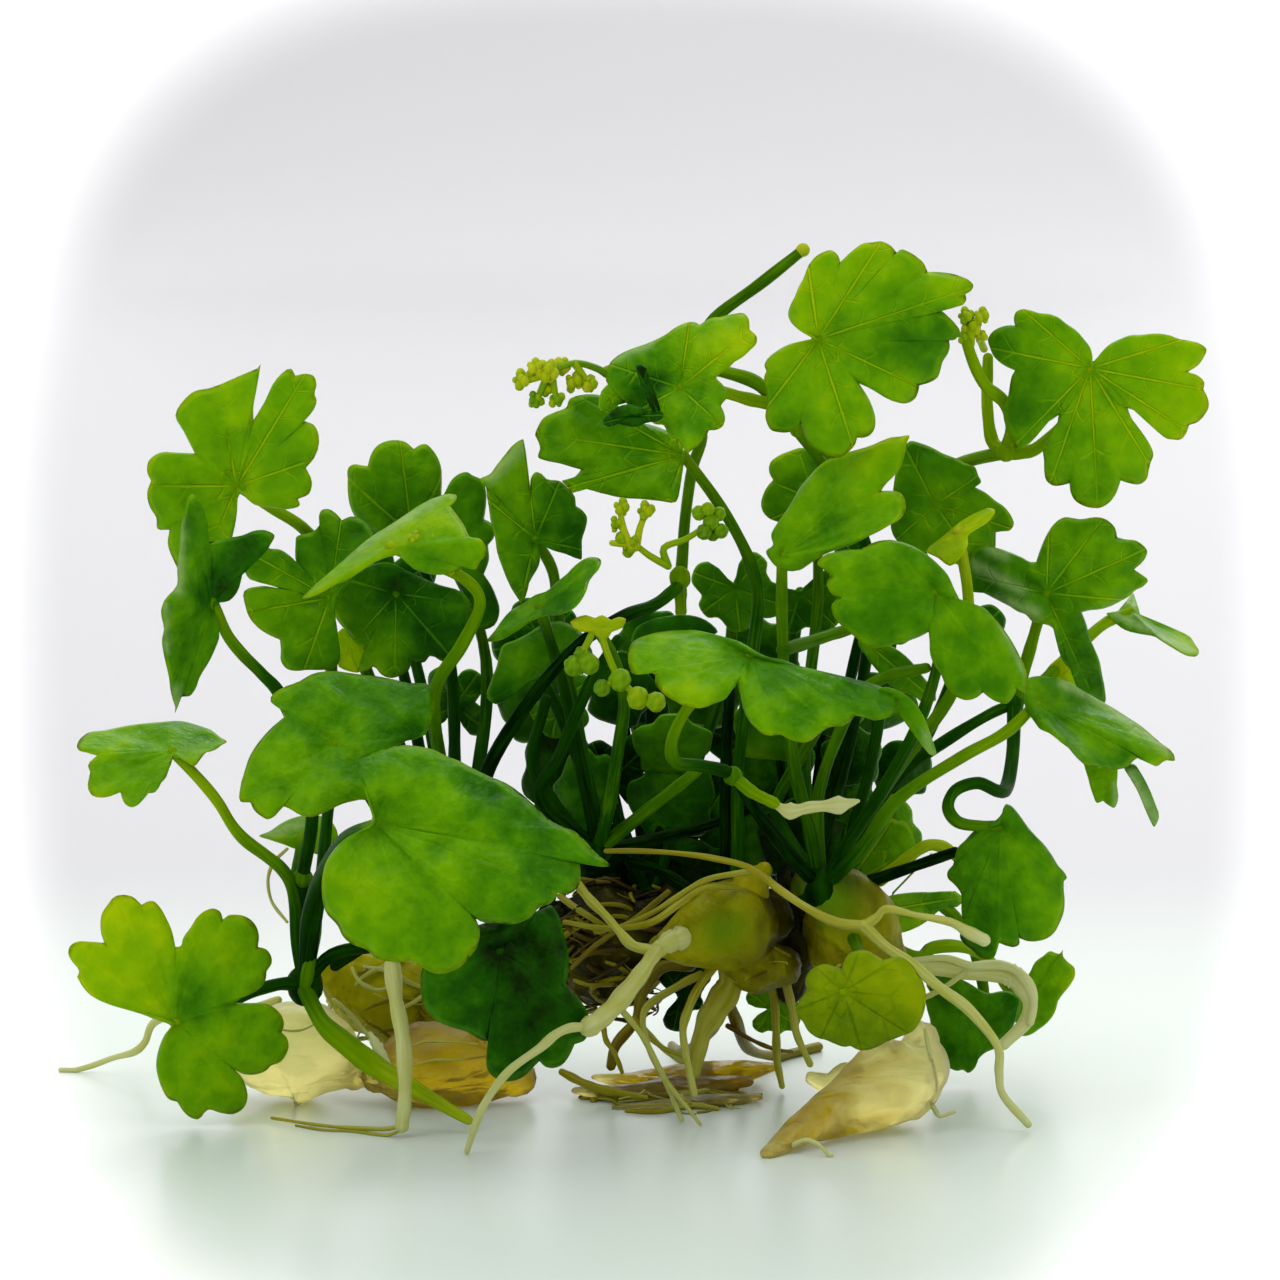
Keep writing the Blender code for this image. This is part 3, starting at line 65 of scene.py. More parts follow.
# The point on the sight line of a column and row at a depth: the eye plus the ray, stretched till its y is the depth.
def seen(places):
    places = np.atleast_2d(np.asarray(places, float))
    offset = (places[..., :2] - view["middle"]) * view["column"]
    ray = view["eyeDistance"] * forward + offset[..., :1] * np.array([1, 0, 0]) - offset[..., 1:2] * upward
    return eye + ray * ((places[..., 2:3] * mm - eye[1]) / ray[..., 1:2])


# A Catmull-Rom curve: the powers of t times the spline's matrix, for each four neighbouring places at once.
def smoothPath(places, each):
    places = np.asarray(places, float)
    ends = np.vstack([2 * places[0] - places[1], places, 2 * places[-1] - places[-2]])
    t = np.arange(each) / each
    powers = np.stack([np.ones(each), t, t ** 2, t ** 3], 1)
    matrix = 0.5 * np.array([[0, 2, 0, 0], [-1, 0, 1, 0], [2, -5, 4, -1], [-1, 3, -3, 1]])
    groups = np.stack([ends[:-3], ends[1:-2], ends[2:-1], ends[3:]], 1)
    path = np.einsum("tp,pk,nkd->ntd", powers, matrix, groups).reshape(-1, places.shape[1])
    return np.vstack([path, places[-1]])


# Sum over the faces of the volume of the tetrahedron from the origin to each face. Below 0, the faces point in.
def signedVolume(points, quads, tris):
    corners = np.vstack([quads[:, [0, 1, 2]], quads[:, [0, 2, 3]], tris])
    a, b, c = (points[corners[:, i]] for i in range(3))
    return np.sum(a * np.cross(b, c)) / 6


# One closed shape: points, four-sided and three-sided faces turned outwards, and two pairs of values for each point.
def shapeOf(points, quads, tris, flow, look):
    middle = points.mean(axis=0)
    if signedVolume(points - middle, quads, tris) < 0:
        quads, tris = quads[:, ::-1], tris[:, ::-1]
    return dict(points=points, quads=quads, tris=tris, flow=flow, look=look)


# Faces between rows of a grid whose columns close round, as index arrays.
def roundGrid(rows, columns, first=0):
    i, j = np.meshgrid(np.arange(rows - 1), np.arange(columns), indexing="ij")
    k = (j + 1) % columns
    quads = np.stack([i * columns + j, i * columns + k, (i + 1) * columns + k, (i + 1) * columns + j], -1)
    return quads.reshape(-1, 4) + first


# The fan of faces from one pole point to a closed ring.
def fanFaces(pole, ringStart, columns, flip=False):
    j = np.arange(columns)
    k = (j + 1) % columns
    pair = (k, j) if flip else (j, k)
    return np.stack([np.full(columns, pole), ringStart + pair[0], ringStart + pair[1]], -1)


# Puts several closed shapes into one mesh object with its two UV maps, and ties it to the body, slot and nodes.
def addPiece(name, shapes, material, nodes=()):
    starts = np.cumsum([0] + [len(s["points"]) for s in shapes[:-1]])
    points = np.vstack([s["points"] for s in shapes])
    quads = np.vstack([s["quads"] + k for s, k in zip(shapes, starts)])
    tris = np.vstack([s["tris"] + k for s, k in zip(shapes, starts)])
    corners = np.concatenate([quads.ravel(), tris.ravel()]).astype(np.int32)
    sizes = np.concatenate([np.full(len(quads), 4), np.full(len(tris), 3)])
    mesh = bpy.data.meshes.new(name)
    mesh.vertices.add(len(points))
    mesh.vertices.foreach_set("co", points.astype(np.float32).ravel())
    mesh.loops.add(len(corners))
    mesh.loops.foreach_set("vertex_index", corners)
    mesh.polygons.add(len(sizes))
    mesh.polygons.foreach_set("loop_start", np.concatenate([[0], np.cumsum(sizes)[:-1]]).astype(np.int32))
    mesh.update(calc_edges=True)
    for kind in ("flow", "look"):
        values = np.vstack([s[kind] for s in shapes])[corners]
        mesh.uv_layers.new(name=kind).data.foreach_set("uv", values.astype(np.float32).ravel())
    mesh.shade_smooth()
    mesh.materials.append(material)
    piece = bpy.data.objects.new(name, mesh)
    bpy.context.scene.collection.objects.link(piece)
    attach(piece, "root")
    if nodes:
        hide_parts(*nodes)


# A tube: rings round a path, square to its tangent, each ring's first axis square to one fixed reference too.
# It ends in rounded caps: rings of radius r cos a, moved out by r sin a. Rows are x, y, z, radius, tone, second.
# Points under the floor are lifted to it.
def tube(rows, sides=10, flat=1.0):
    capTurns = np.radians([72, 45, 20])
    path, values = rows[:, :3], rows[:, 3:]
    tangent = np.gradient(path, axis=0)
    tangent /= np.linalg.norm(tangent, axis=1, keepdims=True)
    reference = np.linalg.svd(tangent, full_matrices=True)[2][-1]
    startCap = path[0] - tangent[0] * values[0, :1] * np.sin(capTurns)[:, None]
    endCap = path[-1] + tangent[-1] * values[-1, :1] * np.sin(capTurns[::-1])[:, None]
    centres = np.vstack([startCap, path, endCap])
    directions = np.vstack([np.tile(tangent[0], (3, 1)), tangent, np.tile(tangent[-1], (3, 1))])
    spread = np.vstack([np.tile(values[0], (3, 1)), values, np.tile(values[-1], (3, 1))])
    radii = spread[:, 0].copy()
    radii[:3] *= np.cos(capTurns)
    radii[-3:] *= np.cos(capTurns[::-1])
    side = np.cross(directions, reference)
    side /= np.linalg.norm(side, axis=1, keepdims=True)
    other = np.cross(directions, side)
    turn = np.arange(sides) * 2 * math.pi / sides
    ring = side[:, None] * np.cos(turn)[:, None] + other[:, None] * (np.sin(turn)[:, None] * flat)
    points = (centres[:, None] + ring * radii[:, None, None]).reshape(-1, 3)
    poles = np.vstack([centres[0] - directions[0] * radii[0] * 0.3, centres[-1] + directions[-1] * radii[-1] * 0.3])
    points = np.vstack([points, poles])
    points[:, 2] = np.maximum(points[:, 2], 0)
    count = len(centres)
    along = np.concatenate([[0], np.cumsum(np.linalg.norm(np.diff(centres, axis=0), axis=1))]) / mm
    flow = np.stack([np.tile(np.arange(sides) / sides, count), np.repeat(along, sides)], -1)
    look = np.repeat(spread[:, 1:3], sides, axis=0)
    flow = np.vstack([flow, [[0, 0], [0, along[-1]]]])
    look = np.vstack([look, spread[0, 1:3], spread[-1, 1:3]])
    tris = np.vstack([fanFaces(count * sides, 0, sides, True),
                      fanFaces(count * sides + 1, (count - 1) * sides, sides)])
    return shapeOf(points, roundGrid(count, sides), tris, flow, look)


# A stalk along listed places (column, row, depth). Its radius and tone run evenly through the values given, and
# knots, times the product of two sines along it, makes the radius uneven.
def stalk(places, radius, tone, each=6, sides=10, flat=1.0, knots=0.0, seed=0):
    places = np.asarray(places, float)
    path = smoothPath(seen(places), each)
    share = np.linspace(0, 1, len(path))
    radii = np.interp(share, np.linspace(0, 1, len(radius)), radius) * mm
    radii *= 1 + knots * np.sin(share * 19 + seed * 2.1) * np.sin(share * 7 + seed)
    tones = np.interp(share, np.linspace(0, 1, len(tone)), tone)
    path[:, 2] = np.maximum(path[:, 2], radii * 0.8 * flat)
    return tube(np.column_stack([path, radii, tones, 0 * tones]), sides, flat)


# A lump: an oval over its polar angles, its radius swelled by a sum of three sine waves, flat where it meets the floor.
def lump(place, sizes, tone, bumps=0.06, seed=0, rows=16, columns=22, spread=0.0):
    polar, round_ = np.meshgrid(np.linspace(0, math.pi, rows + 2)[1:-1], np.arange(columns) * 2 * math.pi / columns,
                                indexing="ij")
    swell = (np.sin(3 * round_ + seed) * np.sin(2 * polar + seed * 2.3) + np.sin(5 * round_ + 4 * polar + seed * 1.7)
             + np.sin(7 * polar + 2 * round_ - seed)) / 3
    reach = 1 + bumps * swell * np.sin(polar)
    unit = np.stack([np.sin(polar) * np.cos(round_), np.sin(polar) * np.sin(round_), np.cos(polar)], -1)
    centre = seen(place)[0]
    points = (centre + unit * reach[..., None] * np.array(sizes) * mm).reshape(-1, 3)
    poles = centre + np.array([[0, 0, 1], [0, 0, -1]]) * sizes[2] * mm
    points = np.vstack([points, poles])
    points[:, 2] = np.maximum(points[:, 2], 0)
    count = rows * columns
    tris = np.vstack([fanFaces(count, 0, columns, True), fanFaces(count + 1, count - columns, columns)])
    flow = np.vstack([np.stack([round_ / (2 * math.pi), polar * sizes[2]], -1).reshape(-1, 2), [[0, 0], [0, 1]]])
    look = np.vstack([np.stack([tone + spread * swell, 0 * swell], -1).reshape(-1, 2), [[tone, 0], [tone, 0]]])
    return shapeOf(points, roundGrid(rows, columns), tris, flow, look)


# The closed outline through a rim's places: Hermite spans with tangents from both neighbours, or along the chords
# at a sharp notch, which has a third value.
def fineRim(rim, each):
    places = np.array([p[:2] for p in rim], float)
    sharp = np.array([len(p) > 2 for p in rim])[:, None]
    after = np.roll(places, -1, axis=0) - places
    gap = np.linalg.norm(after, axis=1, keepdims=True)
    slope = after / gap
    gapBefore, slopeBefore = np.roll(gap, 1, axis=0), np.roll(slope, 1, axis=0)
    shared = (gap * slopeBefore + gapBefore * slope) / (gap + gapBefore)
    leave, arrive = np.where(sharp, slope, shared), np.where(sharp, slopeBefore, shared)
    t = (np.arange(each) / each)[None, :, None]
    start, end = places[:, None], np.roll(places, -1, axis=0)[:, None]
    out, into = (leave * gap)[:, None], (np.roll(arrive, -1, axis=0) * gap)[:, None]
    curve = ((2 * t ** 3 - 3 * t ** 2 + 1) * start + (t ** 3 - 2 * t ** 2 + t) * out
             + (3 * t ** 2 - 2 * t ** 3) * end + (t ** 3 - t ** 2) * into)
    return curve.reshape(-1, 2)


# The lean of a blade's spokes in mm of depth for each column of length, from its lobe tips by angle, and softened.
def leanOf(leaf, turns):
    arms = np.array([(x - leaf["hub"][0], y - leaf["hub"][1]) for x, y, behind in leaf["tips"]], float)
    tipTurns = np.arctan2(arms[:, 1], arms[:, 0])
    lean = np.array([tip[2] for tip in leaf["tips"]]) / np.linalg.norm(arms, axis=1)
    order = np.argsort(tipTurns)
    raw = np.interp(turns, tipTurns[order], lean[order], period=2 * math.pi)
    window = np.hanning(15) / np.hanning(15).sum()
    return np.convolve(np.concatenate([raw[-7:], raw, raw[:7]]), window, "valid"), tipTurns


bladeMake = dict(each=3, rings=12, spacing=0.85, thick=0.22, dome=0.075, quilt=0.022, quiltWide=0.13, ruffle=0.012,
                 toneNear=40, rimFrom=0.93, rimWide=0.07, rimPaintedGlow=0.24)


# A blade: spokes from the hub to the rim, each point at share s of its spoke. Its depth is the lean times the length,
# less the dome 4 s (1 - s), with quilting between the main veins and a ruffle that grows to the rim.
# Two such sheets, half the thickness to either side along the normal, close at the rim. The tone is a mean of the
# toned places, weighted by the inverse third power of their distance: the leaf's own lighter and darker green, and
# painted shade where a leaf or a part of one lies in shade. It is paler at the rim, a painted glow of light through the
# thin edge, and a painted grey sheen of reflected light lies along the given lines.
def blade(leaf, seed=0):
    hub = np.array(leaf["hub"][:2], float)
    rim = fineRim(leaf["rim"], leaf.get("each", bladeMake["each"])) - hub
    turns = np.unwrap(np.arctan2(rim[:, 1], rim[:, 0]))
    sense = 1 if turns[-1] > turns[0] else -1
    steady = np.maximum.accumulate(turns * sense + np.arange(len(turns)) * -1e-5) + np.arange(len(turns)) * 1e-4
    reach = np.linalg.norm(rim, axis=1)
    turns = steady * sense
    lean, tipTurns = leanOf(leaf, turns)
    size = np.percentile(reach, 80)
    shares = np.linspace(0, 1, bladeMake["rings"] + 1)[1:] ** bladeMake["spacing"]
    s = shares[:, None]
    length = s * reach
    x, y = hub[0] + length * np.cos(turns), hub[1] + length * np.sin(turns)
    fromVein = np.abs((turns[:, None] - tipTurns + math.pi) % (2 * math.pi) - math.pi)
    nearest = fromVein.min(axis=1)
    across = np.sin(np.minimum(nearest, math.pi / 2)) * length * view["column"] / mm
    tall = size * view["column"] / mm
    dome = leaf.get("dome", 1) * bladeMake["dome"] * tall * 4 * s * (1 - s * 0.85)
    swell = np.sin(np.minimum(across / (bladeMake["quiltWide"] * tall), math.pi / 2)) ** 2
    quilt = bladeMake["quilt"] * tall * swell * (1 - s ** 4)
    waves = np.sin(turns * 7 + seed * 1.9) + 0.6 * np.sin(turns * 13 + seed * 3.1)
    ruffle = leaf.get("ruffle", 1) * bladeMake["ruffle"] * tall * waves * s ** 4
    depth = leaf["hub"][2] + lean * length - dome - quilt + ruffle
    sheet = seen(np.stack([x, y, depth], -1))
    hubPoint = seen(leaf["hub"])
    spoke = np.gradient(np.concatenate([np.broadcast_to(hubPoint, (1, len(turns), 3)), sheet]), axis=0)[1:]
    round_ = np.roll(sheet, -1, axis=1) - np.roll(sheet, 1, axis=1)
    normal = np.cross(spoke, round_)
    normal /= np.maximum(np.linalg.norm(normal, axis=2, keepdims=True), 1e-12)
    facing = normal.mean(axis=(0, 1))
    normal = 0.5 * normal + 0.5 * facing / np.linalg.norm(facing)
    half = bladeMake["thick"] / 2 * mm * np.sqrt(1 - shares[:, None, None] ** 6)
    columns = len(turns)
    front = sheet + normal * half
    back = (sheet - normal * half)[:-1]
    hubNormal = facing / np.linalg.norm(facing) * bladeMake["thick"] / 2 * mm
    points = np.vstack([front.reshape(-1, 3), back.reshape(-1, 3), hubPoint + hubNormal, hubPoint - hubNormal])
    points[:, 2] = np.maximum(points[:, 2], 0.00002)
    frontCount, backCount = front.shape[0] * columns, back.shape[0] * columns
    quadsFront = roundGrid(front.shape[0], columns)
    quadsBack = roundGrid(back.shape[0], columns, frontCount)[:, ::-1]
    j = np.arange(columns)
    k = (j + 1) % columns
    rimStart, lastBack = frontCount - columns, frontCount + backCount - columns
    closing = np.stack([rimStart + j, rimStart + k, lastBack + k, lastBack + j], -1)
    tris = np.vstack([fanFaces(frontCount + backCount, 0, columns, True),
                      fanFaces(frontCount + backCount + 1, frontCount, columns)])
    flowGrid = np.stack([across, length * view["column"] / mm], -1)
    toned = np.array(leaf["tones"], float)
    away = (x[..., None] - toned[:, 0]) ** 2 + (y[..., None] - toned[:, 1]) ** 2 + bladeMake["toneNear"]
    weights = away ** -1.5
    tone = (weights * toned[:, 2]).sum(-1) / weights.sum(-1)
    # Paler at the rim: a painted glow of light shining through the thin edge.
    tone = tone + bladeMake["rimPaintedGlow"] * np.clip((s - bladeMake["rimFrom"]) / bladeMake["rimWide"], 0, 1)
    # Painted sheen: near 1 close to each given line, where a grey reflection is painted into the leaf's colour.
    paintedSheen = np.zeros_like(tone)
    for x0, y0, x1, y1, wide in leaf.get("paintedSheen", ()):
        line = np.array([x1 - x0, y1 - y0], float)
        along = np.clip(((x - x0) * line[0] + (y - y0) * line[1]) / (line @ line), 0, 1)
        apart = np.hypot(x - x0 - along * line[0], y - y0 - along * line[1])
        paintedSheen = np.maximum(paintedSheen, np.exp(-(apart / wide) ** 2))
    lookGrid = np.stack([tone, paintedSheen], -1)
    flow = np.vstack([flowGrid.reshape(-1, 2), flowGrid[:-1].reshape(-1, 2), [[0, 0], [0, 0]]])
    look = np.vstack([lookGrid.reshape(-1, 2), lookGrid[:-1].reshape(-1, 2), lookGrid[0, :1], lookGrid[0, :1]])
    return shapeOf(points, np.vstack([quadsFront, quadsBack, closing]), tris, flow, look)


# Shader maths

def shade(*screen):    # screen colour, 0 to 255, as linear light
    return (*[v / 255 / 12.92 if v < 10.3 else ((v / 255 + 0.055) / 1.055) ** 2.4 for v in screen], 1)


# One output socket of a node tree. Sums, differences, products and ratios with numbers or others add Math nodes.
class Wire:
    def __init__(self, tree, socket=None):
        self.tree, self.socket = tree, socket

    def node(self, kind, settings=None, inputs=None, output=0):
        made = self.tree.nodes.new(kind)
        for key, value in (settings or {}).items():
            if key == "stops":
                ramp = made.color_ramp.elements
                while len(ramp) < len(value):
                    ramp.new(1)
                for stop, (position, colour) in zip(ramp, value):
                    stop.position, stop.color = position, colour
            else:
                setattr(made, key, value)
        for key, value in (inputs or {}).items():
            if isinstance(value, Wire):
                self.tree.links.new(value.socket, made.inputs[key])
            else:
                made.inputs[key].default_value = value
        return Wire(self.tree, made.outputs[output])

    def maths(self, operation, *values):
        return self.node("ShaderNodeMath", {"operation": operation}, dict(enumerate(values)))

    def __add__(self, other): return self.maths("ADD", self, other)
    def __sub__(self, other): return self.maths("SUBTRACT", self, other)
    def __rsub__(self, other): return self.maths("SUBTRACT", other, self)
    def __mul__(self, other): return self.maths("MULTIPLY", self, other)
    def __truediv__(self, other): return self.maths("DIVIDE", self, other)

    def ramp(self, stops):    # colour by value
        return self.node("ShaderNodeValToRGB", {"stops": stops}, {0: self})

    def step(self, low, high):    # 0 below low, 1 above high, smooth between
        return self.node("ShaderNodeMapRange", {"interpolation_type": "SMOOTHSTEP"}, {0: self, 1: low, 2: high})

    def blend(self, other, share):    # colours, this one where share is 0
        return self.node("ShaderNodeMix", {"data_type": "RGBA"}, {0: share, 6: self, 7: other}, 2)

    def split(self, *axes):    # some of the three numbers of a place
        return [self.node("ShaderNodeSeparateXYZ", {}, {0: self}, axis) for axis in axes]

    def noise(self, scale, detail, **more):    # clouds from 0 to 1 over this place
        return self.node("ShaderNodeTexNoise", {}, {"Vector": self, "Scale": scale, "Detail": detail, **more})

    def bump(self, strength, distance):    # normals of this height
        return self.node("ShaderNodeBump", {}, {"Strength": strength, "Distance": distance, "Height": self})

    def size(self):    # without its sign
        return self.maths("ABSOLUTE", self)


# Starts a material: its node tree emptied, with the piece's two maps, as two numbers each, and its own coordinates.
def startMaterial(name):
    made = bpy.data.materials.new(name)
    made.use_nodes = True
    made.node_tree.nodes.clear()
    tree = Wire(made.node_tree)
    flow, look = (tree.node("ShaderNodeUVMap", {"uv_map": kind}) for kind in ("flow", "look"))
    return made, tree, *flow.split(0, 1), *look.split(0, 1), tree.node("ShaderNodeTexCoord", {}, {}, 3)


# Links the finished shader, and the volume of a clear piece, to the material's output.
def endMaterial(made, shader, volume=None):
    output = made.node_tree.nodes.new("ShaderNodeOutputMaterial")
    made.node_tree.links.new(shader.socket, output.inputs[0])
    if volume:
        made.node_tree.links.new(volume.socket, output.inputs[1])
    return made


# Ends the material of a live piece: its surface, mixed with light let through by the share given.
def liveMaterial(made, tree, finish, colour, rough, normal, share):
    surface = tree.node("ShaderNodeBsdfPrincipled", {}, {
        "Base Color": colour, "Roughness": rough, "Normal": normal,
        "Specular IOR Level": finish["specular"], "Specular Tint": finish["specularTint"]})
    glow = tree.node("ShaderNodeBsdfTranslucent", {}, {"Color": finish["glow"]})
    return endMaterial(made, tree.node("ShaderNodeMixShader", {}, {0: share, 1: surface, 2: glow}))


# Leaf greens by tone, and the grey-green of a painted sheen, reflected light painted into the colour.
leafFinish = dict(
    greens=[(0.0, shade(0, 28, 0)), (0.2, shade(22, 82, 0)), (0.4, shade(62, 124, 0)), (0.6, shade(104, 162, 0)),
            (0.8, shade(148, 190, 0)), (1.0, shade(200, 216, 6))],
    veinWide=0.12, sideVeins=1.9, paintedGreySheen=shade(140, 172, 100), glow=(0.42, 0.66, 0.002, 1), rough=0.18, specular=0.12,
    specularTint=(0.7, 1.0, 0.25, 1))


# Leaf: green by tone with soft mottling, paler main veins at the middle of each lobe and short side veins that slant
# off them, a painted grey-green sheen of reflected light where the second value says, and light let through. Veins
# below 0 are dark ones.
def leafMaterial(name, finish, veins):
    made, tree, across, along, tone, paintedGreySheen, place = startMaterial(name)
    mottle = place.noise(620, 3, Roughness=0.62)
    patch = place.noise(250, 2)
    mainVein = (1 - (across + (mottle - 0.5) * 0.2).size().step(finish["veinWide"] * 0.3, finish["veinWide"])) \
        * along.step(0.2, 1.0) * (1 - along.step(3.5, 9.0) * 0.6)
    slant = (along - across * 0.8 + (patch - 0.5) * 2.6) / finish["sideVeins"]
    beside = (slant.maths("FRACT", slant) - 0.5).size()
    sideVein = (1 - beside.step(0.015, 0.055)) * across.step(0.03, 0.15) * (1 - across.step(0.3, 1.3))
    lines = (mainVein * 0.2 + sideVein * 0.12) * veins
    green = (tone + (mottle - 0.5) * 0.5 + (patch - 0.5) * 0.5 + lines).ramp(finish["greens"])
    # Painted sheen: grey-green reflected light mixed into the colour along the given lines.
    withPaintedSheen = green.blend(finish["paintedGreySheen"], paintedGreySheen * (mottle.step(0.2, 0.6) * 0.5 + 0.3))
    height = mottle * 0.55 - (mainVein * 0.22 + sideVein * 0.1) * (veins * veins) + patch * 1.3
    share = (tone + (patch - 0.5) * 0.5).step(0.1, 1.1) * 0.5 * (1 - paintedGreySheen * 0.5) + 0.005
    return liveMaterial(made, tree, finish, withPaintedSheen, mottle * 0.4 + finish["rough"], height.bump(0.85, 0.0009), share)


leafMade = leafMaterial("veinedLeaf", leafFinish, 1.0)
smoothLeafMade = leafMaterial("smoothLeaf", leafFinish, 0.14)
oliveFinish = dict(leafFinish, veinWide=0.1, greens=[
    (0.0, shade(30, 52, 0)), (0.4, shade(88, 118, 0)), (0.7, shade(132, 154, 0)), (1.0, shade(176, 188, 0))])
oliveLeafMade = leafMaterial("oliveLeaf", oliveFinish, -0.6)

stalkFinish = dict(
    greens=[(0.0, shade(0, 18, 0)), (0.25, shade(24, 74, 0)), (0.5, shade(84, 132, 0)), (0.75, shade(134, 170, 0)),
            (1.0, shade(196, 208, 40))],
    glow=(0.38, 0.58, 0.002, 1), rough=0.27, specular=0.02, specularTint=(0.7, 1.0, 0.3, 1))


# Stalk: coloured by tone with fine streaks along it, a little light let through.
def stalkMaterial(name, finish):
    made, tree, across, along, tone, _, place = startMaterial(name)
    mottle = place.noise(500, 3)
    streak = tree.node("ShaderNodeTexNoise", {"noise_dimensions": "2D"}, {
        "Vector": tree.node("ShaderNodeCombineXYZ", {}, {0: across * 14, 1: along * 0.35}), "Scale": 1, "Detail": 3})
    green = (tone + (streak - 0.5) * 0.3 + (mottle - 0.5) * 0.2).ramp(finish["greens"])
    return liveMaterial(made, tree, finish, green, streak * 0.3 + finish["rough"],
                        (streak + mottle * 0.5).bump(0.4, 0.00012), tone.step(0.1, 1.0) * 0.35)


stalkMade = stalkMaterial("pennywortStalk", stalkFinish)

flowerFinish = dict(
    greens=[(0.0, shade(44, 92, 0)), (0.4, shade(114, 160, 0)), (0.7, shade(170, 192, 0)), (1.0, shade(214, 218, 40))],
    glow=(0.6, 0.7, 0.01, 1), rough=0.35, specular=0.2, specularTint=(0.9, 1.0, 0.4, 1))
flowerMade = stalkMaterial("pennywortFlower", flowerFinish)

rootFinish = dict(
    greens=[(0.0, shade(26, 18, 0)), (0.25, shade(92, 74, 0)), (0.5, shade(148, 142, 4)),
            (0.75, shade(194, 198, 84)), (1.0, shade(226, 230, 172))],
    glow=(0.6, 0.62, 0.16, 1), rough=0.19, specular=0.22, specularTint=(1.0, 1.0, 0.7, 1))
rootMade = stalkMaterial("pennywortRoot", rootFinish)

crownFinish = dict(
    browns=[(0.0, shade(4, 8, 0)), (0.25, shade(50, 46, 0)), (0.5, shade(112, 108, 0)), (0.75, shade(156, 152, 0)),
            (1.0, shade(192, 186, 14))],
    green=shade(88, 138, 0), glow=(0.42, 0.4, 0.01, 1), rough=0.25, specular=0.14, specularTint=(1.0, 1.0, 0.4, 1))


# Crown: olive to amber by tone, green where the second value says, with soft blotches and upright fibres.
def crownMaterial(name, finish):
    made, tree, _, _, tone, second, place = startMaterial(name)
    blotch = place.noise(330, 4, Roughness=0.55)
    fibre = tree.node("ShaderNodeMapping", {}, {0: place, "Rotation": (0, 0.7, 0), "Scale": (1, 1, 0.3)}).noise(1100, 2)
    colour = (tone + (blotch - 0.5) * 0.9 + (fibre - 0.5) * 0.3).ramp(finish["browns"])
    greened = colour.blend(finish["green"], second * (blotch * 0.4 + 0.7))
    return liveMaterial(made, tree, finish, greened, fibre * 0.3 + finish["rough"],
                        (blotch + fibre * 0.3).bump(0.9, 0.0009), tone.step(0.1, 0.9) * 0.3)


crownMade = crownMaterial("pennywortCrown", crownFinish)

gelFinish = dict(pale=shade(236, 228, 146), amber=shade(194, 164, 0), bend=1.34, rough=0.19, through=0.78,
                 absorb=(0.96, 0.9, 0.4, 1), density=24)


# Nutrient gel: mostly clear and partly cloudy, with water's bending of light, a yellow tint that deepens with
# thickness and towards its amber parts, and a skin with soft wet folds.
def gelMaterial(name, finish):
    made, tree, _, _, tone, _, place = startMaterial(name)
    ripple = place.noise(520, 3, Roughness=0.6)
    folds = tree.node("ShaderNodeMapping", {}, {
        0: place, "Rotation": (0, 0.6, 0), "Scale": (0.5, 1, 1.6)}).noise(300, 3, Distortion=1.2)
    colour = (tone + (ripple - 0.5) * 0.7 + (folds - 0.5) * 1.1).ramp([(0.2, finish["amber"]), (0.8, finish["pale"])])
    surface = tree.node("ShaderNodeBsdfPrincipled", {}, {
        "Base Color": colour, "Roughness": ripple * 0.3 + finish["rough"], "IOR": finish["bend"],
        "Normal": (ripple * 0.4 + folds).bump(0.55, 0.001), "Transmission Weight": finish["through"]})
    inside = tree.node("ShaderNodeVolumeAbsorption", {}, {"Color": finish["absorb"], "Density": finish["density"]})
    return endMaterial(made, surface, inside)


gelMade = gelMaterial("nutrientGel", gelFinish)
print("materials made")


# A blade: the hub's column, row and depth; the lobe tips with mm behind the hub; the rim in turn round the hub, a third
# value at a sharp notch; places of lighter and darker green, the darker partly painted shade; and lines, with half a
# width, where a painted grey sheen of reflected light lies.
def bladeOf(text, **more):
    made = dict(zip(("hub", "tips", "rim", "tones", "paintedSheen"), map(spots, text.split(";"))), **more)
    made["hub"] = made["hub"][0]
    return made


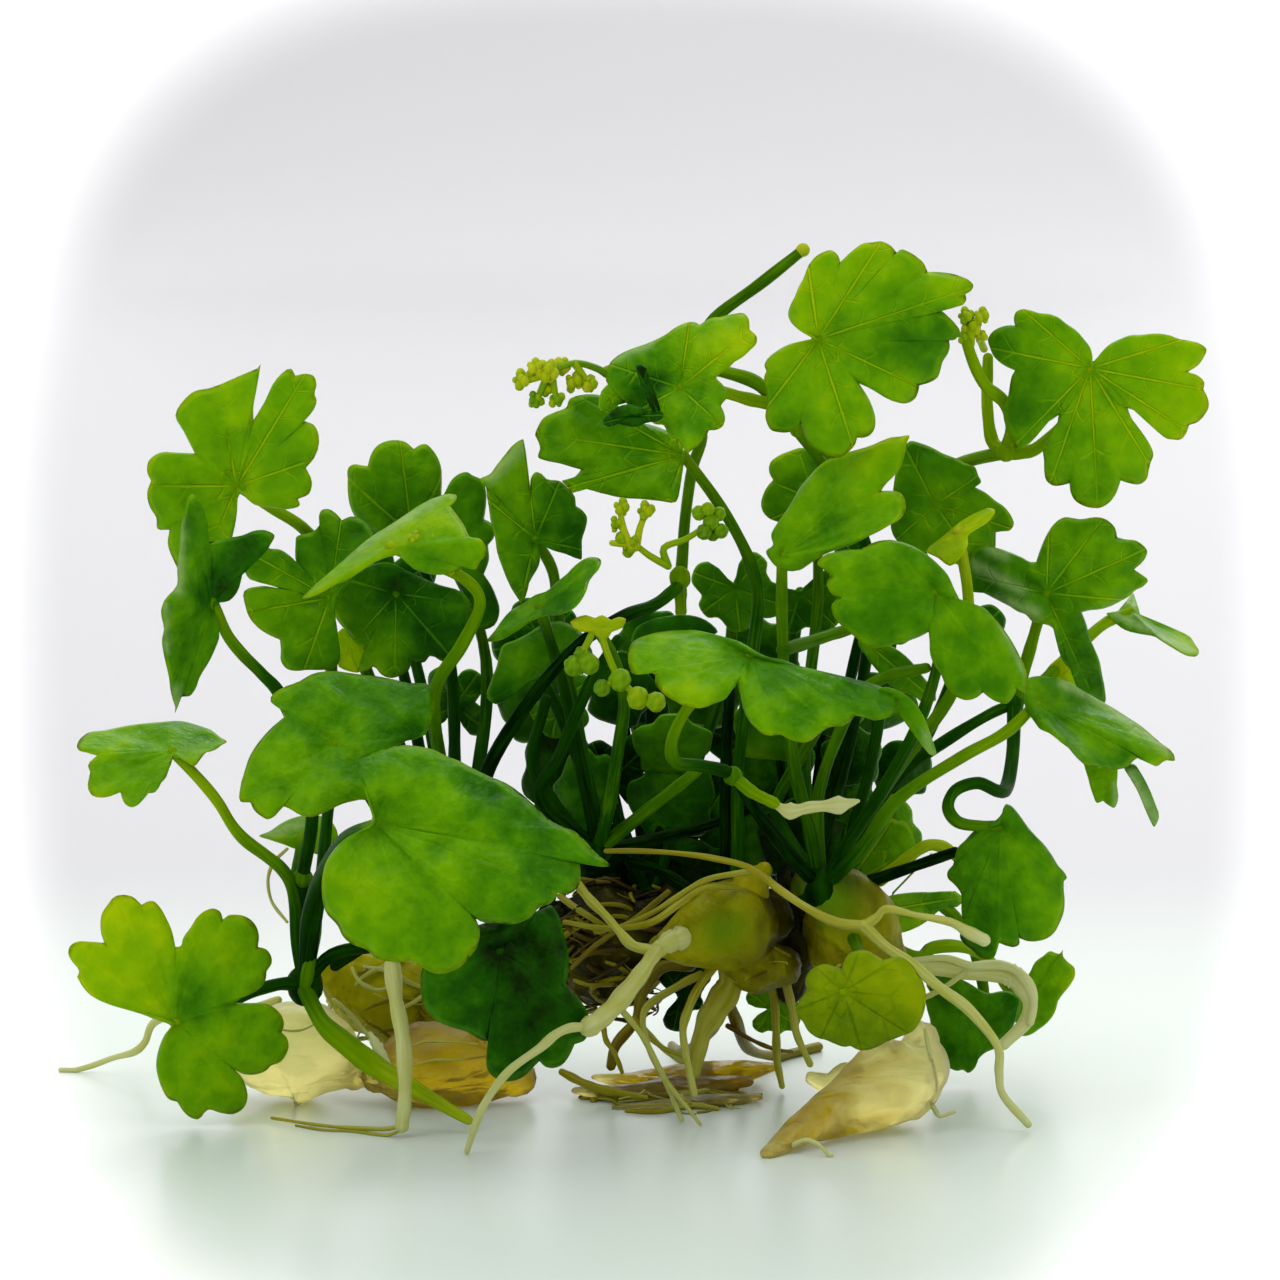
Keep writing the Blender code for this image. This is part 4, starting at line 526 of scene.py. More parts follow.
leaves = dict(
    left_top=bladeOf("""237 486 -2; 205 562 0, 147 486 -1, 215 378 0, 306 373 -1, 317 458 -1;
    240 494, 255 505, 272 508, 290 509, 300 505, 298 499 1, 309 494, 312 482, 306 468 1, 315 457, 319 436, 314 425,
    304 421 1, 314 410, 317 400, 315 395, 317 385, 314 376, 306 374, 296 376 1, 292 369, 277 379, 266 400, 254 420 1,
    254 407, 256 393, 265 379, 267 365 1, 240 376, 210 388, 195 391, 186 398, 176 415, 184 431, 195 453 1, 178 452,
    160 452, 149 460, 147 470, 151 480 1, 147 492, 150 507, 156 517, 157 528, 169 529 1, 167 543, 172 558, 180 572,
    200 578, 222 562, 232 536, 236 515, 237 500;
    205 555 0.5, 165 490 0.56, 210 410 0.62, 295 390 0.56, 280 480 0.55, 240 450 0.6"""),
    left_hanging=bladeOf("""212 602 -8; 180 712 -1, 164 604 -4, 190 493 0, 272 532 2;
    214 610, 219 624, 220 635, 216 647, 209 662, 200 677, 195 690, 190 696, 182 697, 178 715 1, 171 692, 169 677,
    164 655, 162 640, 164 630, 161 611, 164 601, 177 585, 177 570, 179 550, 181 525, 184 512, 191 494, 197 496,
    204 510, 207 530, 209 542 1, 232 537, 242 535, 255 530, 266 530, 274 535, 270 544, 267 549, 250 552, 245 560,
    242 575, 237 592, 230 600, 218 603;
    172 620 0.5, 185 560 0.5, 205 640 0.38, 212 590 0.14, 250 545 0.2, 190 505 0.42, 180 690 0.4;
    180 520 178 590 5, 165 605 166 650 3, 175 690 178 712 5""", dome=0.5, smooth=1),
    left_umbrella=bladeOf("""173 752 -2; 196 767 -2, 228 742 1, 182 721 4, 115 726 4, 78 747 1, 94 796 -2, 134 807 -3,
    154 790 -3;
    180 758, 195 766, 200 760, 207 752, 215 750, 222 745, 227 742, 220 737, 211 730, 200 726, 182 721, 160 722,
    130 725, 105 730, 87 733, 79 740, 77 747, 79 750, 86 752, 92 754, 97 755 1, 88 765, 90 772 1, 88 789, 92 795,
    105 797, 120 792 1, 125 804, 131 807, 137 805, 142 800 1, 146 794, 155 792, 159 785, 166 777, 169 767, 172 758;
    180 740 0.5, 100 742 0.6, 130 785 0.58, 95 785 0.66, 150 750 0.52""", dome=0.4, smooth=1),
    left_back=bladeOf("""412 535 6; 372 560 1, 350 480 0, 400 440 0, 442 475 0, 462 545 1;
    418 545, 445 560, 462 545, 450 520, 442 500, 442 480, 441 466, 437 456, 432 449, 426 444, 420 445, 414 449 1,
    406 442, 397 440, 387 441, 377 446, 371 455, 368 466 1, 362 465, 354 464, 349 467, 348 480, 348 492, 350 505,
    357 520, 365 530, 375 548, 395 550;
    395 460 0.5, 360 485 0.5, 425 480 0.45, 400 520 0.4"""),
    left_slanting=bladeOf("""391 547 -6; 303 599 -1, 372 530 4, 458 497 2, 481 541 -2;
    400 556, 410 567, 425 573, 440 575, 455 572, 467 568, 474 571, 480 562, 486 555, 485 545, 480 539, 470 537,
    465 527, 457 515, 450 506 1, 456 501, 457 496, 450 494, 440 496, 422 504, 405 515, 390 525, 372 536, 352 552,
    335 567, 314 585, 302 598, 309 597, 322 592, 335 585, 347 580, 367 567, 375 562, 385 558;
    330 578 0.72, 400 530 0.74, 440 510 0.72, 460 555 0.6, 425 560 0.5;
    340 560 440 498 5""", dome=0.4, smooth=1),
    left_middle=bladeOf("""330 598 0; 342 512 1, 248 552 -1, 246 612 -1, 303 672 -1;
    335 612, 337 630, 339 645, 340 660, 335 668, 322 670, 307 670, 297 671, 287 669, 281 661, 281 650, 280 640 1,
    267 634, 257 627, 249 617, 245 605, 244 592, 250 588, 287 591 1, 262 583, 250 580, 244 570, 245 557, 246 549,
    252 544, 262 544, 269 549 1, 280 550, 287 554, 295 564 1, 295 545, 296 537, 305 534, 312 532, 319 525 1, 318 517,
    321 510, 327 509, 337 515, 341 520 1, 351 516, 362 520, 370 529, 375 545, 360 570, 345 585;
    330 530 0.42, 260 562 0.5, 260 610 0.5, 305 655 0.42, 350 550 0.3, 320 600 0.4"""),
    left_dark=bladeOf("""396 593 3; 332 575 0, 345 652 0, 395 678 0, 450 655 0, 474 604 0;
    410 572, 440 585, 462 592, 472 605, 470 620, 465 635, 455 655, 445 662, 430 656, 425 662, 412 662 1, 409 670,
    400 676, 390 678, 382 675, 374 667, 367 671, 360 671, 361 660, 365 650 1, 358 645, 347 632, 337 620, 330 605,
    323 592, 335 583, 350 575, 365 567, 387 562;
    350 610 0.42, 380 660 0.4, 430 620 0.16, 440 650 0.2, 400 590 0.22"""),
    left_small=bladeOf("""452 545 4; 430 515 0, 465 472 0, 494 522 0, 490 598 0;
    440 540, 436 520, 440 500, 445 492, 450 482, 457 475, 467 472, 472 475, 482 480, 486 492, 486 505, 484 519 1,
    490 522, 495 530, 494 537, 488 545 1, 489 560, 484 574 1, 492 586, 496 595, 500 610, 495 625, 480 630, 465 600,
    450 570;
    460 490 0.34, 485 530 0.3, 475 590 0.2""", smooth=1),
    mid_left=bladeOf("""535 539 2; 521 601 -1, 488 500 -1, 525 439 0, 560 481 0, 584 550 0;
    540 545, 555 551, 572 556, 581 560, 582 550, 582 540, 586 527, 587 517, 582 510, 576 506 1, 575 497, 567 487,
    560 481, 547 479, 542 474, 536 472, 532 476, 531 492 1, 528 472, 526 455, 524 439, 517 442, 505 455, 497 465,
    490 474, 480 479, 486 486, 487 495, 489 507, 491 522, 495 537, 497 552, 502 567, 507 580, 515 595, 521 602,
    525 597, 527 587, 532 577, 538 567, 540 558, 536 545;
    505 500 0.46, 520 460 0.48, 560 510 0.36, 515 580 0.4, 570 540 0.32;
    490 478 520 448 6"""),
    mid_diagonal=bladeOf("""540 608 -3; 562 612 -3, 488 638 -1, 530 588 3, 601 561 0;
    545 616, 560 615, 576 607, 586 592, 590 580, 601 565, 601 560, 592 557, 581 561, 572 570, 560 580, 547 591,
    535 595, 522 604, 510 611, 502 620, 495 630, 487 641, 497 641, 515 632, 530 622;
    580 570 0.45, 530 600 0.5, 500 632 0.42, 570 605 0.3""", dome=0.4, smooth=1),
    mid_low=bladeOf("""540 672 3; 488 702 0, 500 652 0.8, 560 627 0.8, 597 641 0;
    548 678, 560 660, 585 648, 598 640, 585 635, 570 624, 555 621, 540 626, 527 634, 515 640, 502 646, 499 655,
    497 665, 491 680, 487 698, 495 704, 510 697, 525 685;
    560 635 0.3, 510 660 0.34, 500 695 0.2""", smooth=1),
    top_folded=bladeOf("""680 388 -4; 622 420 -2, 606 364 -1, 690 321 2, 755 328 0, 722 426 -2;
    678 440, 688 453, 692 450, 700 444, 705 436, 708 431, 716 430, 722 427, 725 420, 724 413, 721 406 1, 722 404,
    727 398, 728 393, 722 384, 716 378 1, 731 366, 735 362, 742 358, 750 351, 757 343, 757 337, 750 330 1, 749 319,
    745 314, 735 314, 720 317, 712 318, 700 325 1, 697 323, 690 322, 683 324, 675 328, 665 335, 655 340, 645 344,
    630 349, 618 355, 611 361, 607 370, 606 380, 612 388, 620 396, 632 408, 645 416, 655 424, 663 425, 668 435;
    735 335 0.74, 690 345 0.6, 630 360 0.5, 650 385 0.2, 715 410 0.52, 690 440 0.5, 675 400 0.56, 660 350 0.45;
    612 360 650 344 4""", parts=[
        bladeOf("""624 391 -5.4; 603 402 0, 636 374 0, 639 398 0.2;
        601 392, 607 385, 620 379, 636 372, 640 386, 639 399, 629 402, 612 407, 601 411;
        608 392 0.56, 636 398 0.06, 632 380 0.42""", dome=0.6),
        bladeOf("""632 416 -6.2; 605 422 0.2, 632 405 0, 661 415 0.2, 632 426 0;
        602 423, 611 411, 629 404, 640 407, 650 411, 658 409, 664 415, 660 420, 646 423, 637 427, 626 426, 617 424,
        608 427;
        615 418 0.12, 650 418 0.1, 630 406 0.26""", dome=2.5),
        bladeOf("""650 394 -6.6; 638 372 0, 656 408 0;
        636 366, 642 364, 650 380, 657 398, 660 412, 652 410, 646 396, 640 380;
        650 390 0""", dome=0.4, ruffle=0.3)]),
    top_middle=bladeOf("""684 456 2; 668 504 -2, 570 487 -1, 536 434 0, 578 396 1, 650 372 2;
    682 470, 680 490, 676 502, 660 501, 640 499, 622 498, 600 493, 582 490, 575 499, 568 488, 562 481, 570 480,
    577 475, 581 470 1, 570 467, 560 464, 545 461, 538 458, 540 449, 538 442, 535 436, 538 427, 543 419, 552 414,
    560 411 1, 566 408, 569 400, 575 397, 585 395, 600 396, 615 405, 630 420, 650 425, 665 430, 680 442;
    560 440 0.46, 600 410 0.42, 640 440 0.42, 620 485 0.56, 665 490 0.5, 600 470 0.5, 670 450 0.55"""),
    top_big=bladeOf("""818 339 -4; 808 262 0, 882 241 0, 970 288 -1, 930 392 0, 855 452 -1, 770 404 0;
    816 340 1, 808 335, 798 329, 790 321, 788 315, 790 306, 795 296, 798 288, 803 279, 808 266, 815 257, 823 252,
    830 250, 836 253, 839 258, 840 262 1, 847 255, 855 248, 863 243, 872 242, 881 241, 890 245, 896 252 1, 900 249,
    908 251, 916 256, 923 262, 927 271 1, 937 271, 948 272, 960 275, 970 280, 973 284, 971 289, 965 293 1, 966 298,
    962 304, 955 304, 945 305, 932 304 1, 938 307, 947 314, 955 322, 960 330, 955 338, 949 339 1, 950 345, 948 352,
    943 360, 941 368, 938 376, 930 381, 920 384 1, 919 390, 916 397, 908 402, 897 401, 885 396, 875 390, 865 385,
    860 383 1, 865 390, 870 398, 874 407, 877 420, 876 428, 872 434, 865 437, 859 437 1, 857 444, 853 449, 845 456,
    835 458, 825 455, 815 449, 809 442, 806 435, 802 424 1, 798 430, 790 433, 780 433, 773 431, 769 425, 767 417,
    769 405, 768 395, 766 385, 765 378, 767 372, 765 367, 768 360, 777 352, 787 346, 798 343, 810 342;
    810 290 0.72, 800 330 0.74, 870 265 0.68, 850 320 0.5, 915 345 0.3, 940 285 0.68, 895 385 0.6, 800 380 0.66,
    780 410 0.5, 840 420 0.56, 865 410 0.64, 930 320 0.42, 900 300 0.45"""),
    right_star=bladeOf("""1090 368 0; 1030 316 0, 990 348 0, 1018 442 0, 1052 478 0, 1098 509 0, 1149 464 0,
    1186 430 0, 1207 390 0, 1188 338 0;
    1092 361 1, 1092 355, 1090 347, 1084 339, 1076 330, 1067 324, 1058 317, 1050 314, 1040 313, 1030 310, 1022 309,
    1016 312, 1014 319, 1015 325 1, 1008 325, 1000 327, 992 332, 988 339, 990 347, 994 356, 1000 362, 1008 367,
    1015 370 1, 1012 375, 1010 383, 1008 395, 1004 405, 1003 415, 1005 425, 1009 435, 1013 444, 1017 448, 1024 446,
    1030 442, 1037 433, 1044 424, 1052 419, 1058 415 1, 1056 425, 1050 434, 1045 441, 1042 449, 1043 460, 1043 470,
    1045 480, 1051 485, 1060 485, 1068 483 1, 1069 492, 1073 500, 1080 505, 1090 508, 1098 508, 1106 504, 1113 496,
    1117 487, 1119 481 1, 1128 484, 1138 485, 1145 480, 1147 472, 1149 464, 1152 456, 1149 446, 1142 435, 1135 426,
    1130 417, 1127 409 1, 1135 412, 1142 420, 1149 430, 1158 438, 1170 441, 1180 441, 1185 435, 1188 427 1, 1197 424,
    1203 418, 1208 409, 1207 400, 1203 392 1, 1204 385, 1198 378, 1188 374 1, 1198 368, 1204 360, 1207 352, 1202 347,
    1190 343, 1180 341, 1170 337, 1155 335, 1142 336, 1132 336, 1120 340, 1110 345, 1103 352, 1098 360;
    1035 335 0.56, 1005 345 0.4, 1030 400 0.42, 1070 440 0.46, 1095 495 0.52, 1130 450 0.6, 1160 400 0.7,
    1150 350 0.72, 1190 410 0.72, 1085 360 0.6, 1065 470 0.55, 1110 400 0.55""", dome=0.6),
    right_light=bladeOf("""782 556 -4; 788 500 1, 845 449 1, 909 435 0, 905 506 -1, 842 547 -2;
    778 568, 770 560, 766 551, 773 545, 771 535, 776 525, 783 515, 793 500, 800 487, 810 475, 822 463, 838 455,
    858 449, 868 446, 880 441, 890 437, 900 436, 909 435, 906 443, 904 455, 900 467, 893 476, 885 484, 881 490 1,
    890 490, 900 492, 904 497, 905 510, 900 518, 890 524, 880 530, 868 536, 855 543, 840 548, 825 554, 812 562, 800 570;
    880 455 0.62, 840 480 0.56, 800 510 0.58, 880 505 0.6, 830 530 0.46, 790 550 0.46, 850 460 0.64;
    812 472 782 512 3""", dome=0.5, smooth=1),
    right_shaded=bladeOf("""815 500 7; 768 520 0, 764 478 0, 798 450 0, 860 462 1, 855 535 1;
    812 540, 795 532, 778 522 1, 770 519, 763 512, 761 503, 763 495, 767 487, 773 480 1, 769 472, 770 463, 778 456,
    790 451, 799 448, 815 450, 835 456, 850 470, 860 490, 860 520, 840 538;
    785 462 0.58, 780 500 0.42, 800 480 0.36, 770 505 0.44"""),
    right_dark=bladeOf("""935 505 4; 903 443 0, 972 480 0, 1013 529 0, 975 560 -1, 890 545 0;
    925 552, 905 548, 893 535, 890 515, 893 490, 896 470, 902 450, 910 441, 920 443, 933 448, 942 453, 955 458,
    965 463, 975 467, 978 475, 981 482, 975 487 1, 985 492, 995 500, 1005 507, 1011 515, 1014 524, 1010 530, 1002 531,
    996 532 1, 996 540, 995 552, 985 565, 965 566, 945 560;
    920 465 0.36, 960 475 0.46, 905 500 0.34, 960 510 0.5, 1000 520 0.58, 930 530 0.46, 980 545 0.52"""),
    right_young=bladeOf("""958 533 0; 993 510 0, 965 543 -1.5, 926 552 0, 952 524 1.5;
    968 545, 962 556, 950 566, 938 558, 926 551, 935 543, 945 535, 955 526, 965 519, 980 511, 992 508, 995 510,
    990 520, 978 528, 968 536;
    980 515 0.92, 950 550 0.88, 960 530 0.98""", dome=0.3, smooth=1),
    right_middle=bladeOf("""935 592 -8; 885 541 1, 826 583 0, 866 649 -1, 950 696 -1, 1018 700 -1, 1006 625 0;
    833 603, 838 598 1, 830 592, 827 582, 830 577, 824 570, 817 564, 825 555, 835 552, 845 550, 860 549, 875 542,
    890 540, 905 543, 920 550, 930 557, 940 566, 948 575, 954 588, 960 600 1, 975 602, 985 608, 995 618, 1005 630,
    1013 642, 1020 655, 1025 665, 1028 680, 1025 692, 1018 688 1, 1013 698, 1008 703, 1000 702, 990 697, 984 692 1,
    978 697, 968 700, 958 697, 948 688, 942 675, 935 665, 931 655, 930 640, 929 632 1, 920 637, 910 641, 903 645,
    895 645, 885 648, 875 649, 865 646, 858 640, 848 632, 838 623, 832 613;
    845 560 0.5, 900 565 0.44, 850 590 0.55, 860 625 0.42, 900 610 0.42, 950 650 0.54, 985 640 0.5, 1000 690 0.46,
    1010 655 0.56, 960 690 0.5, 935 580 0.4;
    1000 625 1024 675 2""", smooth=1),
    right_three=bladeOf("""1046 593 2; 970 576 1, 1050 522 0, 1106 515 0, 1148 548 0, 1128 600 0, 1092 694 2;
    1036 562 1, 1040 550, 1044 540, 1050 529, 1057 521, 1065 517, 1073 518, 1080 519, 1095 517, 1103 518, 1110 522,
    1115 528, 1117 537 1, 1125 539, 1135 540, 1143 545, 1147 550, 1145 558, 1140 564, 1134 569 1, 1140 573, 1148 580,
    1143 586, 1135 590, 1130 595, 1122 600, 1110 606, 1100 609, 1090 610, 1082 612 1, 1087 625, 1090 637, 1095 648,
    1100 660, 1103 675, 1106 690, 1106 702, 1094 700, 1080 692, 1076 680, 1072 670, 1065 663, 1061 655, 1061 645,
    1058 635, 1053 628, 1048 625, 1040 624, 1033 622, 1026 615, 1018 612, 1010 607, 1000 602, 992 598, 980 593,
    970 593, 968 580, 968 565, 972 552, 982 547, 993 548, 1010 553, 1022 558, 1030 562;
    1065 540 0.5, 1105 545 0.5, 1130 560 0.54, 1100 595 0.52, 1020 580 0.4, 990 590 0.32, 1080 650 0.3, 1090 690 0.34,
    1040 610 0.45;
    975 565 1022 590 6, 1000 598 1035 612 6, 990 550 1005 556 5"""),
    far_right=bladeOf("""1130 612 10; 1198 652 0, 1150 630 -2.5, 1106 612 -1, 1137 595 3;
    1116 613, 1106 612, 1113 621, 1125 630, 1140 634, 1155 637, 1165 643, 1178 651, 1187 656, 1197 656, 1199 653,
    1194 643, 1190 637, 1180 636, 1165 634, 1152 630, 1142 621, 1139 610, 1136 600, 1133 593, 1127 600, 1121 607;
    1190 650 0.66, 1140 630 0.5, 1130 605 0.5;
    1115 615 1150 632 4, 1130 598 1134 615 5, 1160 638 1190 650 3""", dome=0.1, smooth=1),
    right_drooping=bladeOf("""1036 704 -4; 1028 675 1, 1105 704 3, 1174 760 1, 1120 768 0, 1050 738 -3;
    1027 712, 1024 700, 1025 688, 1027 679, 1037 676, 1050 677, 1065 680, 1084 691, 1098 699, 1112 707, 1128 717,
    1143 727, 1160 742, 1174 754, 1175 760, 1166 760, 1156 766, 1149 761, 1143 757 1, 1137 758, 1127 767, 1117 769,
    1100 767, 1084 764, 1074 752, 1062 743, 1049 733, 1040 729, 1034 721;
    1050 700 0.46, 1090 730 0.5, 1140 740 0.6, 1165 757 0.6, 1125 762 0.4, 1060 725 0.44, 1110 750 0.56;
    1062 684 1100 703 5, 1100 703 1168 750 6""", dome=0.6, smooth=1, parts=[
        bladeOf("""1102 766 -3; 1104 806 -0.5;
        1084 756, 1088 778, 1093 795, 1097 803, 1103 801 1, 1108 805, 1114 808, 1118 800, 1117 785, 1116 764, 1100 758;
        1098 780 0.6, 1112 800 0.5;
        1115 785 1115 806 3""", dome=0.4),
        bladeOf("""1134 775 -3; 1154 826 1;
        1124 766, 1130 778, 1138 792, 1144 806, 1149 818, 1154 827, 1159 817, 1155 803, 1149 788, 1141 773, 1134 764;
        1145 800 0.42;
        1131 775 1155 820 7""", dome=0.4)]),
    right_looped=bladeOf("""1000 826 -6; 949 868 1, 966 936 0, 1000 953 -1, 1052 936 -1, 1067 882 0;
    1003 812, 1006 804, 1010 805, 1018 813, 1028 827, 1035 835, 1043 843, 1052 855, 1058 865, 1065 873, 1067 878,
    1064 881 1, 1064 890, 1065 900, 1064 912, 1060 923, 1055 932, 1048 938, 1038 941, 1028 941, 1020 938 1, 1020 944,
    1015 947, 1008 946, 1000 943 1, 998 950, 995 957, 988 959, 980 957, 973 950, 965 944, 961 938, 962 930, 966 924 1,
    963 917, 962 905, 962 895, 955 885, 948 878, 948 872, 953 866, 955 858, 958 848, 965 841, 972 833, 978 828, 990 824;
    985 860 0.36, 1030 850 0.4, 1045 910 0.5, 980 920 0.28, 1010 880 0.36, 1055 880 0.5, 975 945 0.22, 1000 835 0.42""",
        smooth=1),
    right_low_back=bladeOf("""1022 1008 9; 1031 962 0, 1055 950 0, 1075 970 0, 1052 1014 0, 1033 1036 0;
    1015 1020, 1012 1005, 1016 990, 1024 980, 1030 972, 1035 962, 1043 956, 1050 951, 1056 953, 1060 954 1, 1062 948,
    1063 956, 1068 962, 1074 967, 1075 975, 1070 985, 1062 995, 1058 1001 1, 1055 1012, 1048 1022, 1038 1030,
    1030 1035, 1022 1036;
    1055 965 0.56, 1045 990 0.58, 1030 1025 0.5, 1060 985 0.64""", smooth=1),
    right_low=bladeOf("""985 1025 6; 940 1071 -1, 926 1005 0, 958 973 0, 1014 990 0, 1006 1045 0;
    996 1048, 985 1053, 978 1060, 975 1068, 968 1073, 963 1070, 957 1071, 948 1068, 940 1070, 936 1065, 932 1055,
    932 1045, 934 1038 1, 931 1030, 930 1020, 927 1010, 926 1000, 931 994 1, 926 984, 930 978, 940 974, 955 975,
    963 980, 972 985, 980 990, 990 993, 1000 991, 1008 991, 1015 994, 1020 999, 1018 1010, 1015 1022, 1010 1032,
    1003 1040;
    955 1010 0.38, 950 1055 0.34, 1000 1005 0.3, 940 985 0.3, 975 1035 0.4, 935 1020 0.5""", smooth=1),
    front_round=bladeOf("""843 992 -14; 816 967 1, 797 1010 0, 820 1040 0, 862 1050 -1, 908 1034 0, 925 1000 0,
    900 958 1, 860 951 1;
    842 969 1, 834 966, 824 964, 815 967, 808 973, 805 982, 807 990 1, 801 998, 796 1007, 798 1016, 803 1022 1,
    808 1031, 818 1038, 826 1040 1, 835 1044, 845 1047, 850 1046 1, 858 1050, 868 1050, 877 1047, 886 1042 1, 900 1037,
    912 1032, 920 1022, 925 1008, 926 994, 922 980, 918 974 1, 912 965, 903 958, 895 957, 884 960 1, 877 956, 868 951,
    860 950, 850 953, 845 959;
    820 980 0.6, 880 975 0.8, 905 990 0.84, 830 1020 0.6, 868 1018 0.34, 895 1020 0.56, 860 960 0.66, 865 1046 0.5,
    850 1000 0.54, 845 1030 0.46""", olive=1),
    right_olive=bladeOf("""848 884 8; 858 800 0, 898 812 0, 918 846 0, 892 880 0;
    840 890, 838 862, 842 835, 848 812, 858 801, 872 800, 885 806, 893 818 1, 900 820, 908 823, 914 832, 917 845,
    915 857, 905 868, 890 879, 870 890;
    900 840 0.5, 870 850 0.44, 850 870 0.3, 860 820 0.36"""),
    centre_front=bladeOf("""750 656 -12; 688 629 3, 628 652 1, 692 709 -3, 772 739 -4, 832 730 -3, 905 720 -1,
    894 688 2;
    747 646 1, 740 642, 725 637, 710 633, 695 630, 680 630, 665 631, 650 634, 635 640, 630 645, 628 655, 629 665,
    632 673, 641 674, 650 671, 655 675 1, 656 685, 660 690, 668 697, 675 701, 680 704, 690 706, 697 708, 705 707,
    715 703, 725 699, 731 691, 737 684 1, 741 700, 743 710, 748 720, 755 728, 762 734, 770 736, 780 735, 785 738 1,
    795 742, 805 743, 812 740, 818 735, 825 730, 832 728, 842 727, 850 722, 855 717 1, 865 719, 873 722, 885 720,
    893 717, 899 712, 897 700, 888 692, 876 687, 860 686, 845 687, 830 682, 815 678, 800 668, 790 663, 775 660, 762 655;
    660 650 0.58, 700 660 0.6, 690 695 0.66, 730 650 0.46, 780 700 0.48, 770 730 0.58, 820 700 0.4, 850 695 0.3,
    880 705 0.36, 800 735 0.54, 780 668 0.3, 750 690 0.5""", smooth=1, parts=[
        bladeOf("""676 627 -8.5; 634 636 0, 716 630 0;
        631 642, 636 628, 650 620, 668 616, 690 615, 706 620, 718 632, 700 637, 680 636, 655 638;
        640 630 0.08, 700 625 0.14""", dome=0.3),
        bladeOf("""888 697 -11.4; 930 752 0;
        873 691, 884 687, 897 690, 912 700, 923 715, 931 735, 935 756, 929 754, 924 744, 917 731, 908 719, 896 710,
        882 703;
        885 698 0.42, 920 730 0.5;
        926 735 932 755 5""", dome=0.4)]),
    left_dome=bladeOf("""335 745 -11; 430 686 2, 356 671 4, 272 695 2, 242 795 -2, 268 820 -3, 328 816 -4, 396 792 -2;
    400 745, 425 735, 432 715, 432 697, 431 686, 410 683, 382 677, 357 674, 332 671, 312 674, 300 681, 280 689,
    271 697, 271 702, 280 707, 284 717 1, 272 727, 260 740, 250 755, 244 772, 240 787, 240 801, 250 802 1, 254 810,
    261 816, 267 819, 275 815, 281 805 1, 290 809, 300 815, 310 817, 325 812, 342 804, 359 800 1, 375 800, 395 785,
    405 765;
    300 700 0.47, 360 690 0.38, 415 700 0.3, 270 770 0.54, 310 790 0.54, 350 760 0.4, 255 790 0.58, 400 730 0.28,
    320 730 0.46""", dome=1.2, smooth=1),
    front_big=bladeOf("""376 824 -19; 354 775 1, 407 744 3, 492 766 3, 611 866 1, 556 896 -1, 505 922 -2, 468 955 -2,
    415 968 -3, 345 932 -3, 324 880 -2;
    372 812, 365 798, 356 790, 351 777, 350 769, 356 760, 370 754, 385 749, 400 745, 417 746, 432 749, 445 755,
    460 761, 475 769, 490 776, 505 782, 520 792, 535 805, 550 819, 562 825, 575 830, 585 839, 595 850, 610 864,
    602 865, 590 862, 580 860 1, 581 870, 580 882, 572 891, 565 892, 559 891 1, 552 901, 540 906, 532 915, 517 922,
    500 922, 482 920, 477 917 1, 481 927, 479 945, 472 955, 462 966, 452 971, 442 973, 430 970, 422 965, 412 960 1,
    400 962, 390 961, 380 959, 367 949, 355 945, 345 937, 340 927, 327 912, 324 900, 323 882, 326 865, 335 850,
    345 840, 357 834, 368 829;
    400 765 0.44, 440 800 0.48, 500 800 0.38, 560 850 0.4, 520 890 0.42, 450 860 0.52, 360 880 0.64, 380 930 0.6,
    440 940 0.54, 590 858 0.36, 470 775 0.34, 540 820 0.34, 365 775 0.4, 490 850 0.46""", dome=1.3, each=4, smooth=1),
    shadow=bladeOf("""500 950 -11; 420 985 0, 440 1024 0, 500 1080 0, 556 1067 0, 588 1025 0, 571 950 0, 545 904 1;
    515 915, 545 908, 550 905, 557 912, 562 927, 567 945, 569 967, 566 985 1, 575 995, 584 1005, 589 1017, 589 1030,
    585 1040, 575 1044 1, 570 1055, 562 1065, 552 1068, 545 1066, 540 1061 1, 534 1067, 525 1076, 512 1081, 500 1080,
    492 1075, 487 1065, 489 1052, 494 1042 1, 482 1040, 467 1032, 450 1027, 435 1020, 425 1007, 421 990, 422 970,
    435 945, 470 928;
    440 1000 0.3, 470 980 0.16, 510 940 0.02, 545 930 0.08, 530 1000 0.08, 560 1010 0.14, 510 1060 0.2, 550 1050 0.22,
    480 930 0""", smooth=1),
